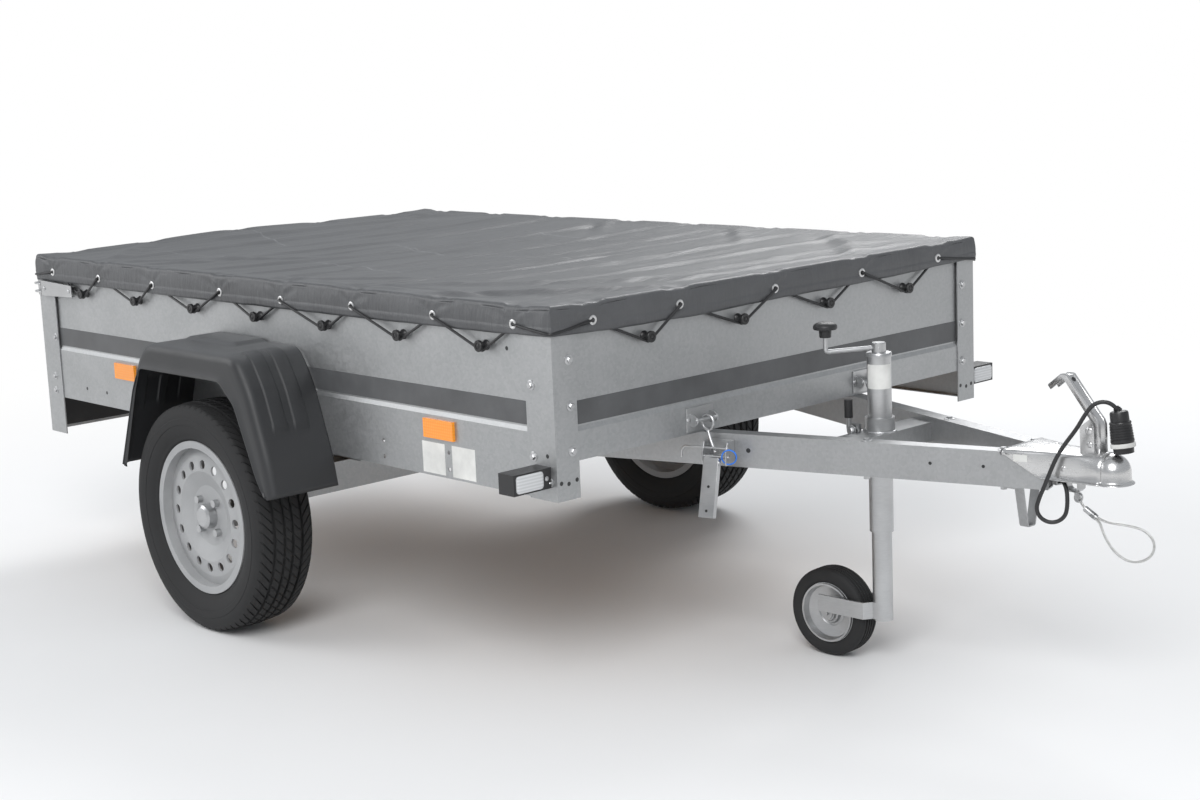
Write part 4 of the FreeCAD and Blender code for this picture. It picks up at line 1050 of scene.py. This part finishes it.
def make_guard(side, sign):
    low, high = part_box("wheel_guard_" + side)
    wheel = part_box("tyre_" + side)
    centre = (wheel[0].x + wheel[1].x) / 2 / MM
    panel = min(abs(low.y), abs(high.y)) / MM
    lip = max(abs(low.y), abs(high.y)) / MM - panel - GUARD_LIP
    # Finer points along the outline, and their partners on the arch
    outer, arch = [], []
    for index in range(len(GUARD_OUTER) - 1):
        start, end = Vector(GUARD_OUTER[index]), Vector(GUARD_OUTER[index + 1])
        below, after = Vector(GUARD_ARCH[index]), Vector(GUARD_ARCH[index + 1])
        count = max(3, round((end - start).length / 9))
        for step in range(count):
            outer.append(start.lerp(end, step / count))
            arch.append(below.lerp(after, step / count))
    outer = smoothed(outer + [Vector(GUARD_OUTER[-1])], 9)
    arch = smoothed(arch + [Vector(GUARD_ARCH[-1])], 2)
    rows = []
    for index, point in enumerate(outer):
        ahead = (outer[min(index + 1, len(outer) - 1)] - outer[max(index - 1, 0)]).normalized()
        inward = Vector((ahead.y, -ahead.x))
        row = []
        for away in GUARD_STEPS + [lip - GUARD_ROUND]:
            x, z = point - inward * guard_rise(*point, away)
            row.append((x, away, z))
        for step in range(7):
            angle = math.pi / 2 * step / 6
            x, z = point + inward * GUARD_ROUND * (1 - math.cos(angle))
            row.append((x, lip - GUARD_ROUND + GUARD_ROUND * math.sin(angle), z))
        rim = point + inward * GUARD_ROUND
        for share in (0.35, 0.75, 0.93, 1):
            x, z = rim.lerp(arch[index], share)
            row.append((x, lip + 3.2 * smooth_step(share, 0.75, 0.99), z))
        rows.append([(centre + x, sign * (panel + y), z) for x, y, z in row])
    shell = Shape().rows(rows, closed=False, turn=SCALE)
    piece = shell.make("moulded_guard_" + side, "guard", "bed", "black_plastic", ["wheel_guard_" + side],
                       angle=50)
    thicken(piece, 0.003, -1)


# Frame of the left beam: X along it, Y outward, Z up
BEAM = SCALE @ Matrix.Translation((680, 246.7, 0)) @ Matrix.Rotation(math.radians(-17.8), 4, "Z")
BOTH_BEAMS = (BEAM, mirrored(BEAM))
BOTH_SIDES = (SCALE, mirrored(SCALE))


# Toggle clamps on the beams, and brackets on the bed with the rings that the clamps pull down
def make_clamps():
    clamp, pins, dark, bracket, rings = Shape(), Shape(), Shape(), Shape(), Shape()
    lean = Matrix.Translation((0, 42, 476)) @ Matrix.Rotation(math.radians(16), 4, "X")
    ear = [(0, 455), (45, 455), (45, 480), (34, 502), (0, 502)]
    channel = [(-17, 14), (17, 14), (17, 0), (15, 0), (15, 12), (-15, 12), (-15, 0), (-17, 0)]
    for turn in BOTH_BEAMS:
        block(clamp, (-28, 0, 452), (28, 3, 502), turn)
        for start in (-28, 25):
            slab(clamp, ear, "x", start, start + 3, turn)
        rod(pins, [(-31, 32, 470), (31, 32, 470)], 5, turn)
        rod(pins, [(-70, 36, 490), (31, 36, 490)], 2.5, turn)
        rod(pins, [(-70, 36, 490), (-78, 36, 482), (-78, 36, 466)], 2.5, turn)
        lever = turn @ lean
        clamp.plate(channel, -130, -6, lever)
        for spot in (-17, 17):
            dome(pins, (spot, 8, -16), (spot, 0, 0), 4.5, 2.5, lever)
        # Dark discs of painted shade in the lever's holes
        for up in (-66, -116):
            hole(dark, (0, 14.2, up), (0, 1, 0), 3, lever)
    ear = [(635.5, 532), (650, 532), (661.5, 540), (661.5, 550), (650, 558), (635.5, 558)]
    for turn in BOTH_SIDES:
        block(bracket, (635.5, 228, 520), (638.5, 308, 570), turn)
        for start in (236.5, 295.5):
            slab(bracket, ear, "y", start, start + 4, turn)
        rod(rings, [(655, 234, 545), (655, 302, 545)], 4.5, turn)
        rod(rings, circle((660, 268, 538.6), (16, 0, 0), (0, 0, 16), 24), 3, turn, 10, rounded=False)
        rod(rings, [(660, 268, 521), (668, 271, 505), (686, 276, 479)], 4, turn)
        for y in (232, 304):
            dome(rings, (638.5, y, 545), (1, 0, 0), 5, 3, turn)
    bevelled(clamp.make("clamp_levers", "bright", "drawbar", "bright_steel"), 0.6)
    dark.make("clamp_holes", "black", "drawbar", "black_plastic")
    bevelled(bracket.make("latch_brackets_plate", "bright", "bed", "bright_steel"), 0.6)
    rings.make("latch_rings", "bright", "bed", "bright_steel")
    pins.make("clamp_pins", "bright", "drawbar", "bright_steel")


# Latches at the rear corners, and their keepers and bails on the tailgate
def make_gate_latches():
    latch, bails, keeper = Shape(), Shape(), Shape()
    front, rear = -1239.9, -1407.9
    lever = [(rear, 720), (front, 726), (front, 756), (rear, 762)]
    edges = ([(rear, 720), (front, 726), (front, 728.5), (rear, 722.5)],
             [(rear, 756), (front, 753.5), (front, 756), (rear, 762)])
    for turn in BOTH_SIDES:
        block(latch, (-1441.5, 674, 720), (-1399.5, 677, 762), turn)
        slab(latch, lever, "y", 684.5, 687, turn)
        for edge in edges:
            slab(latch, edge, "y", 675.5, 687, turn)
        for x in (-1390, -1256):
            dome(latch, (x, 687, 741), (0, 1, 0), 6, 3, turn)
        block(keeper, (-1444.5, 590.3, 720), (-1437.5, 625.3, 762), turn)
        for z in (730, 752):
            path = [(-1446.9, 599, z), (-1446.9, 676, z), (-1446.9, 683, z), (-1440, 684, z), (rear, 684, z)]
            rod(bails, path, 3, turn)
        for z in (728, 754):
            dome(keeper, (-1444.5, 608, z), (-1, 0, 0), 4.5, 2.5, turn)
    bevelled(latch.make("gate_latch_levers", "bright", "bed", "bright_steel"), 0.5)
    bevelled(keeper.make("gate_keeper_plates", "bright", "tailgate", "bright_steel"), 0.5)
    bails.make("gate_bails", "bright", "tailgate", "bright_steel")


# Tip of the beams and top of the coupling head, in millimetres
TIP_X, TIP_HALF, BEAM_SLOPE = 1328.5, 42.5, 0.3211
HEAD_TOP = 518.7


# Strap below the beams, cable entry, and the eye that holds the safety cable
def make_tip_fittings():
    strap, grommet, eye = Shape(), Shape(), Shape()
    top = 444.6
    half = [(58, top), (58, top - 3), (30, top - 3), (13, top - 85), (10, top - 88)]
    inside = [(-27, top), (-10, top - 85), (10, top - 85), (27, top)]
    slab(strap, half + [(-a, b) for a, b in half[::-1]] + inside, "x", 1246, 1266)
    bevelled(strap.make("tip_strap", "beam", "drawbar", "zinc_sheet"), 0.5)
    tip = SCALE @ Matrix.Translation((TIP_X, 38.5, 0)) @ Matrix.Rotation(math.radians(162.2), 4, "Z")
    tip = mirrored(tip)
    block(grommet, (2, 3, 447.7), (12, 32, 511.7), tip)
    grommet.make("cable_entry", "black", "drawbar", "black_plastic")
    hook = [(1346, 514.6), (1346, 447), (1352, 441), (1372, 441), (1378, 447), (1378, 465), (1375, 465),
            (1375, 448.2), (1370.8, 444), (1353.2, 444), (1349, 448.2), (1349, 514.6)]
    slab(eye, hook, "y", -12, 12)
    lug = [(1362, 426), (1366, 421), (1370, 421), (1372, 426), (1372, 442.5), (1362, 442.5)]
    slab(eye, lug, "y", -1.5, 1.5)
    rod(eye, circle((1369.5, 1.5, 429), (8.1, 0, 0), (0, 2, 8.1), 20), 2, sides=8, rounded=False)
    eye.make("cable_eye", "bright", "drawbar", "bright_steel")


# Front marker lamps, bolts, dark discs of painted shade in empty holes, and blank stickers of the bed
POST_BOLTS = ((-1373.9, 608), (-1394, 500.2), (-1396.9, 461.1), (573.4, 669.8), (572, 526.2), (616.1, 479.1))
FRONT_BOLTS = ((-630.2, 719.7), (-629.8, 627.9), (-629.6, 537.5))
SIDE_HOLES = ((613.2, 674, 531.4), (-1228.6, 671, 480.5), (-1124.4, 671, 479.4), (497.7, 667, 735.6))
FRONT_HOLES = ((662.9, 477.8), (643.4, 474.1), (621.4, 478.7))
FRONT_FACE = 638.5


def make_small():
    lens, screws, dark, plates = Shape(), Shape(), Shape(), Shape()
    marker_low, marker_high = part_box("front_markers")
    x, up = marker_high.x / MM, (marker_low.z + marker_high.z) / 2 / MM
    outline = rounded_outline(70, 35, 7)
    for turn in BOTH_SIDES:
        rows = [[(x + rise, 731 + shrink * y, up + shrink * z) for y, z in outline]
                for rise, shrink in ((-1, 1), (2, 1), (3.6, 0.94), (4.4, 0.8))]
        lens.rows(rows, caps=True, turn=turn)
        dome(screws, (x, 686, up), (1, 0, 0), 5, 2, turn)
    for sign in (-1, 1):
        for along, z in POST_BOLTS:
            bolt(screws, (along, sign * 674, z), (0, sign, 0), 6.5, 5)
        for y, z in FRONT_BOLTS:
            bolt(screws, (FRONT_FACE, sign * y, z), (1, 0, 0), 6.5, 5)
        # Dark discs of painted shade in the empty holes
        for along, face, z in SIDE_HOLES:
            hole(dark, (along, sign * face, z), (0, sign, 0), 4.5)
        for y, z in FRONT_HOLES:
            hole(dark, (FRONT_FACE, sign * y, z), (1, 0, 0), 4.5)
    for start in (211.5, 310.5):
        block(plates, (start, -671.5, 448), (start + 75, -670.8, 515))
    lens.make("marker_lens", "clear", "bed", "black_plastic", angle=50)
    screws.make("post_bolts", "bright", "bed", "bright_steel")
    dark.make("post_holes", "black", "bed", "black_plastic")
    plates.make("blank_stickers", "white", "bed", "zinc_sheet")


# Coupling: pressed head that clasps the beams' tips, its dome, and its lever
HEAD_STATIONS = (1243, 1252, 1262, 1280, 1300, 1314, 1322, 1328.5, 1345, 1370, 1390, 1400, 1410, 1420, 1430,
                 1440)
NECK_RADIUS = 34.3
DOME_RADIUS = 34.5
SOCKET_RADIUS = 25.4


def head_half(x):
    """Half the width over the head's cheeks."""
    return TIP_HALF + (TIP_X - x) * BEAM_SLOPE if x < TIP_X else TIP_HALF - 8 * (x - TIP_X) / 99.5


def head_row(x):
    """Section of the head, from cheek to cheek. Towards the nose it turns into the dome's own round."""
    half = head_half(x)
    low = 509 if x <= 1257 else 468 if x >= 1314 else 505 - 37 * (x - 1257) / 57
    flare = 6 * smooth_step(x, 1312, 1330)
    top = HEAD_TOP + 3 * smooth_step(x, 1385, 1428)
    row = [(half + flare, low), (half + flare * 0.85, low + 1.2), (half + flare * 0.25, low + 2.6),
           (half, low + 5), (half, min(top - 8, low + 14)), (half, top - 6), (half - 0.8, top - 3),
           (half - 3, top - 0.8), (half - 6, top), (half * 0.5, top), (0, top)]
    row += [(-y, z) for y, z in row[-2::-1]]
    share = smooth_step(x, 1380, 1440)
    first = 4
    for index in range(first, len(row) - first):
        angle = math.pi * (index - first) / (len(row) - 2 * first - 1)
        y, z = row[index]
        row[index] = (y + (NECK_RADIUS * math.cos(angle) - y) * share,
                      z + (BALL.z / MM + NECK_RADIUS * math.sin(angle) - z) * share)
    return [(x, y, z) for y, z in row]


def arc(radius, steps):
    """Quarter of a circle, as heights and radii from its foot to its top."""
    angles = [math.pi / 2 * step / steps for step in range(1, steps + 1)]
    return [(radius * math.sin(angle), radius * math.cos(angle)) for angle in angles]


def make_coupling():
    head, nose, lever, extra, dark = Shape(), Shape(), Shape(), Shape(), Shape()
    head.rows([head_row(x) for x in HEAD_STATIONS], closed=False, turn=SCALE)
    thicken(head.make("coupling_shell", "chrome", "drawbar", "bright_steel", ["coupling_head"], angle=50),
            0.003)
    profile = [(-22, 40), (-21.2, 41), (-20, 40.6), (-18.6, 38), (-17, 36), (-14, 34.9), (0, DOME_RADIUS)]
    profile += arc(DOME_RADIUS, 10) + arc(SOCKET_RADIUS, 8)[::-1]
    profile += [(0, SOCKET_RADIUS), (-18, 25.8), (-21, 29), (-22, 34), (-22, 40)]
    nose.lathe(profile, Matrix.Translation(BALL) @ SCALE, 48)
    nose.make("coupling_dome", "chrome", "drawbar", "bright_steel", angle=50)
    # Lever: pressed channel with turned edges, above the ball
    above = SCALE @ Matrix.Translation((BALL.x / MM, 0, HEAD_TOP))
    web = [(-20, 2), (-21, 40), (-22, 58), (-26, 67), (-34, 76), (-90, 146), (-97, 147.5), (-104, 146),
           (-131, 124)]
    rows = []
    for index, (x, z) in enumerate(web):
        near = 14 if index < 7 else 13
        half = [(-near, -9), (-near, 0), (-near + 2.5, 1.6), (-near + 5, 0.6), (-near + 6, -0.8)]
        before, after = Vector(web[max(index - 1, 0)]), Vector(web[min(index + 1, len(web) - 1)])
        ahead = (after - before).normalized()
        row = half + [(-y, deep) for y, deep in half[::-1]]
        rows.append([(x + ahead.y * deep, y, z - ahead.x * deep) for y, deep in row])
    lever.rows(rows, closed=False, turn=above)
    thicken(lever.make("coupling_lever", "chrome", "drawbar", "bright_steel", ["coupling_handle"], angle=40),
            0.0024)
    cheek = [(-60, 0), (-20, 0), (-22, 56), (-36, 72), (-56, 56), (-62, 50)]
    for sign in (-1, 1):
        for x, z in ((1340, 497), (1364, 492)):
            dome(extra, (x, sign * head_half(x), z), (0.08, sign, 0), 6, 3.4)
        for x, y in ((1300, 34), (1322, 24)):
            dome(extra, (x, sign * y, HEAD_TOP), (0, 0, 1), 5.5, 3)
        slab(extra, cheek, "y", sign * 11.5, sign * 14, above)
        for x, z, radius in ((-40, 20, 6.5), (-42, 46, 7.5)):
            dome(extra, (x, sign * 14, z), (0, sign, 0), radius, 3, above)
    slope = Vector((0.78, 0, 0.62))
    # Dark disc of painted shade in the lever's hole
    hole(dark, Vector((-84, 0, 138.3)) + slope * 0.6, slope, 5, above)
    extra.make("coupling_rivets", "chrome", "drawbar", "bright_steel")
    dark.make("coupling_hole", "black", "drawbar", "black_plastic")


# Jockey wheel: crank with its knob, clamp lever, cap and blank sticker
def make_jockey():
    low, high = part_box("jockey_tube")
    x, top = (low.x + high.x) / 2 / MM, high.z / MM
    metal, black, grip, paper = Shape(), Shape(), Shape(), Shape()
    cap = [(-8, 25), (-8, 26.6), (-1, 26.6), (1, 25.4), (1.6, 20), (1.6, 14.6), (20, 14.6), (21.6, 13.4),
           (21.6, 0)]
    metal.lathe(cap, SCALE @ Matrix.Translation((x, 0, top)), 32)
    turn = math.radians(50)
    near, end = [(x - reach * math.cos(turn), -reach * math.sin(turn)) for reach in (96, 110)]
    rod(metal, [(x, 0, top + 11), (*near, top + 7), (*end, top + 7), (*end, top + 20), (*end, top + 42)], 5)
    rod(metal, [(x, 0, 395), (x, 0, top)], 8)
    dome(metal, (x + 9.2, -11.4, top + 11), (0.62, -0.78, 0), 2.6, 0.8)
    metal.make("jockey_crank_bar", "bright", "drawbar", "bright_steel", ["jockey_crank"])
    knob = [(37, 0), (37, 11.5), (38, 12.2), (52, 13), (53, 18), (54, 23.6), (56, 25), (60, 25), (63, 23.8),
            (66, 20.5), (68.4, 14.5), (69, 7), (69, 0)]
    black.lathe(knob, SCALE @ Matrix.Translation((*end, top)), 32)
    lever = (x - 45, -46)
    rod(black, [(*lever, 534), (*lever, 540), (*lever, 570), (*lever, 572)], 9, sides=20)
    black.make("jockey_knobs", "black", "drawbar", "black_plastic")
    rod(grip, [(x - 36, -40, 494), (*lever, 500), (*lever, 536)], 5)
    for start in (-45, -39):
        block(grip, (x - 44, start, 494), (x - 20, start + 3, 522))
    bolt(grip, (x - 36, -48, 508), (0, -1, 0), 7, 6)
    # Weld bead round the sleeve
    rod(grip, circle((x, 0, 504.5), (32.5, 0, 0), (0, 32.5, 0), 40), 2.4, sides=8, rounded=False)
    grip.make("jockey_lever", "bright", "drawbar", "bright_steel")
    angles = [math.radians(-119 + 136 * step / 24) for step in range(25)]
    rows = [[(x + 25.3 * math.cos(angle), 25.3 * math.sin(angle), z) for angle in angles] for z in (595, 646)]
    paper.rows(rows, closed=False, turn=SCALE)
    paper.make("jockey_sticker", "white", "drawbar", "zinc_sheet", closed=False)


# Ribbed tyre and hub of the jockey wheel, about the roller's own axle
def make_jockey_wheel():
    tyre, hub = Shape(), Shape()
    low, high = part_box("jockey_tyre")
    centre = (low + high) / 2
    turned = math.radians(3.7)
    axle = Vector((-math.sin(turned), math.cos(turned), 0))
    profile = [(-20, 62), (-22, 64), (-26, 67), (-28.2, 74), (-28.8, 82), (-27, 89), (-24, 93), (-20.5, 94.8)]
    mirror = [(-height, radius) for height, radius in profile[::-1]]
    for start in (-16, -7.2, 1.6, 10.4):
        profile += [(start, 95.6), (start + 0.7, 93), (start + 3.6, 93), (start + 4.3, 95.8)]
    tyre.lathe(profile + mirror + [(20, 58), (-20, 58), (-20, 62)], facing(centre, axle) @ SCALE, 64)
    tyre.make("jockey_rubber", "tyre", "jockey_roller", "tyre_rubber", ["jockey_tyre"], angle=40)
    disc = [(6, 58), (23, 59), (24.6, 62), (23.6, 65.5), (22, 64), (21, 60), (9, 57.6), (7, 52), (7, 40),
            (10, 36),
            (12, 27), (18, 24), (20.5, 17), (27, 15), (27, 0)]
    for sign in (-1, 1):
        side = facing(centre, axle * sign) @ SCALE
        hub.lathe(disc, side, 48)
        for number in range(4):
            angle = math.pi / 2 * number + 0.6
            dome(hub, (44 * math.cos(angle), 44 * math.sin(angle), 7), (0, 0, 1), 4, 3, side)
    hub.make("jockey_hub", "bright", "jockey_roller", "bright_steel", angle=40)


# Rear lamps: black trays, and fields with their start and end from the outer edge and their slot
LAMP_FIELDS = {
    "amber": (6, 66, "amber_plastic"),
    "red": (69, 161, "lamp_plastic"),
    "clear": (164, 224, "black_plastic"),
}


def make_rear_lamps():
    low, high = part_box("rear_lamps")
    rear, low_up, high_up = low.x / MM, low.z / MM, high.z / MM
    outer = max(abs(low.y), abs(high.y)) / MM
    tray = Shape()
    for turn in BOTH_SIDES:
        block(tray, (rear + 12, outer - 230, low_up), (-1436, outer, high_up), turn)
    bevelled(tray.make("rear_lamp_trays", "black", "bed", "black_plastic", ["rear_lamps"]), 4, 3)
    for kind, (start, end, slot) in LAMP_FIELDS.items():
        field = Shape()
        outline = rounded_outline(end - start, high_up - low_up - 12, 5)
        middle, up = outer - (start + end) / 2, (low_up + high_up) / 2
        rows = [[(rear + x, middle + y * shrink, up + z * shrink) for y, z in outline]
                for x, shrink in ((13, 1), (4, 1), (1.4, 0.98), (0, 0.93))]
        for turn in BOTH_SIDES:
            field.rows(rows, caps=True, turn=turn)
        field.make("rear_lens_" + kind, kind, "bed", slot, angle=50)


# Dark discs of painted shade in the beams' holes, the blue ring of the lock pin, nuts below, the beam tip's
# blank sticker
def make_beam_details():
    dark, metal, ring, paper = Shape(), Shape(), Shape(), Shape()
    for turn in BOTH_BEAMS:
        # Dark discs of painted shade in the beams' holes
        for along, up, radius in ((58, 481, 5), (448, 481.4, 3.4), (555, 482.5, 3.4)):
            hole(dark, (along, 0.3, up), (0, 1, 0), radius, turn)
        for along in (310, 590):
            bolt(metal, (along, -17, 444.7), (0, 0, -1), 7, 7, turn)
            bolt(metal, (along, -17, 514.7), (0, 0, 1), 7, 4, turn)
    for away in (0, 2.6):
        middle = Vector((722, -273, 473)) + Vector((0.6, -0.8, 0)) * away
        rod(ring, circle(middle, (12, 9, 0), (0, 0, 15), 32), 1.4, sides=8, rounded=False)
    spots = ((1268, 512), (1294, 512), (1294, 498), (1268, 498))
    corners = [(x, -(44.6 + (TIP_X - x) * BEAM_SLOPE), z) for x, z in spots]
    paper.points.extend(Vector(point) * MM for point in corners)
    paper.faces.append((0, 1, 2, 3))
    dark.make("beam_hole_shade", "black", "drawbar", "black_plastic")
    metal.make("beam_nuts", "bright", "drawbar", "bright_steel")
    ring.make("lock_ring", "blue", "drawbar", "bright_steel", angle=60)
    paper.make("tip_sticker", "white", "drawbar", "zinc_sheet", closed=False)


make_cables()
make_cover()
make_tie_cord()
for side in ("left", "right"):
    make_tyre(side)
for side, sign in (("left", 1), ("right", -1)):
    make_guard(side, sign)
make_clamps()
make_gate_latches()
make_tip_fittings()
make_small()
make_coupling()
make_jockey()
make_jockey_wheel()
make_rear_lamps()
make_beam_details()
make_trim()


# Floor, background and lights
def make_stage():
    graph = Graph("floor_paper", Roughness=0.9)
    rays = graph.add("ShaderNodeLightPath").outputs
    seen = graph.math("MAXIMUM", rays["Is Camera Ray"], rays["Is Glossy Ray"])
    seen = graph.math("MAXIMUM", seen, rays["Is Transmission Ray"])
    cloud = graph.noise(1.2, 3)
    graph.finish(graph.blend(graph.remap(cloud, 0.3, 0.7), (0.86, 0.86, 0.86), (0.88, 0.88, 0.88)))
    glow = graph.add("ShaderNodeEmission", {"Color": (1, 1, 1, 1), "Strength": seen})
    x, y, _ = graph.split(graph.place)
    reach = graph.math("SQRT", graph.math("ADD", graph.math("POWER", x, 2), graph.math("POWER", y, 2)))
    fade = graph.add("ShaderNodeMapRange", {"Value": reach, "From Min": 1.6, "From Max": 4.2},
                     interpolation_type="SMOOTHSTEP").outputs[0]
    mix = graph.add("ShaderNodeMixShader", {0: fade, 1: graph.shader.outputs[0], 2: glow.outputs[0]})
    output = graph.tree.nodes["Material Output"]
    graph.put(output.inputs["Surface"], mix.outputs[0])
    mesh = bpy.data.meshes.new("floor")
    mesh.from_pydata([(-40, -40, 0), (40, -40, 0), (40, 40, 0), (-40, 40, 0)], [], [(0, 1, 2, 3)])
    mesh.materials.append(graph.material)
    floor = bpy.data.objects.new("floor", mesh)
    bpy.context.scene.collection.objects.link(floor)

    world = bpy.data.worlds.new("world")
    bpy.context.scene.world = world
    world.use_nodes = True
    tree = world.node_tree
    tree.nodes.clear()
    path = tree.nodes.new("ShaderNodeLightPath").outputs
    both = tree.nodes.new("ShaderNodeMath")
    both.operation = "MAXIMUM"
    tree.links.new(path["Is Camera Ray"], both.inputs[0])
    tree.links.new(path["Is Transmission Ray"], both.inputs[1])
    white = tree.nodes.new("ShaderNodeBackground")
    white.inputs["Color"].default_value = (1, 1, 1, 1)
    sky = tree.nodes.new("ShaderNodeBackground")
    sky.inputs["Color"].default_value = (0.93, 0.96, 1, 1)
    sky.inputs["Strength"].default_value = 0.55
    mix = tree.nodes.new("ShaderNodeMixShader")
    tree.links.new(both.outputs[0], mix.inputs[0])
    tree.links.new(sky.outputs[0], mix.inputs[1])
    tree.links.new(white.outputs[0], mix.inputs[2])
    output = tree.nodes.new("ShaderNodeOutputWorld")
    tree.links.new(mix.outputs[0], output.inputs["Surface"])

    for name, place, target, size, power in (
        ("key", (3.6, -4.2, 4.4), (0, 0, 0.5), 3.4, 230),
        ("fill", (-4.5, -4.0, 3.0), (-0.5, 0, 0.5), 4.0, 110),
        ("rear", (-2.0, 4.5, 4.5), (0, 0, 0.6), 3.5, 170),
    ):
        data = bpy.data.lights.new(name, "AREA")
        data.shape = "DISK"
        data.size = size
        data.energy = power
        light = bpy.data.objects.new(name, data)
        light.location = place
        light.rotation_euler = (Vector(target) - Vector(place)).to_track_quat("-Z", "Y").to_euler()
        bpy.context.scene.collection.objects.link(light)


make_stage()
bpy.context.scene.view_settings.view_transform = "Standard"
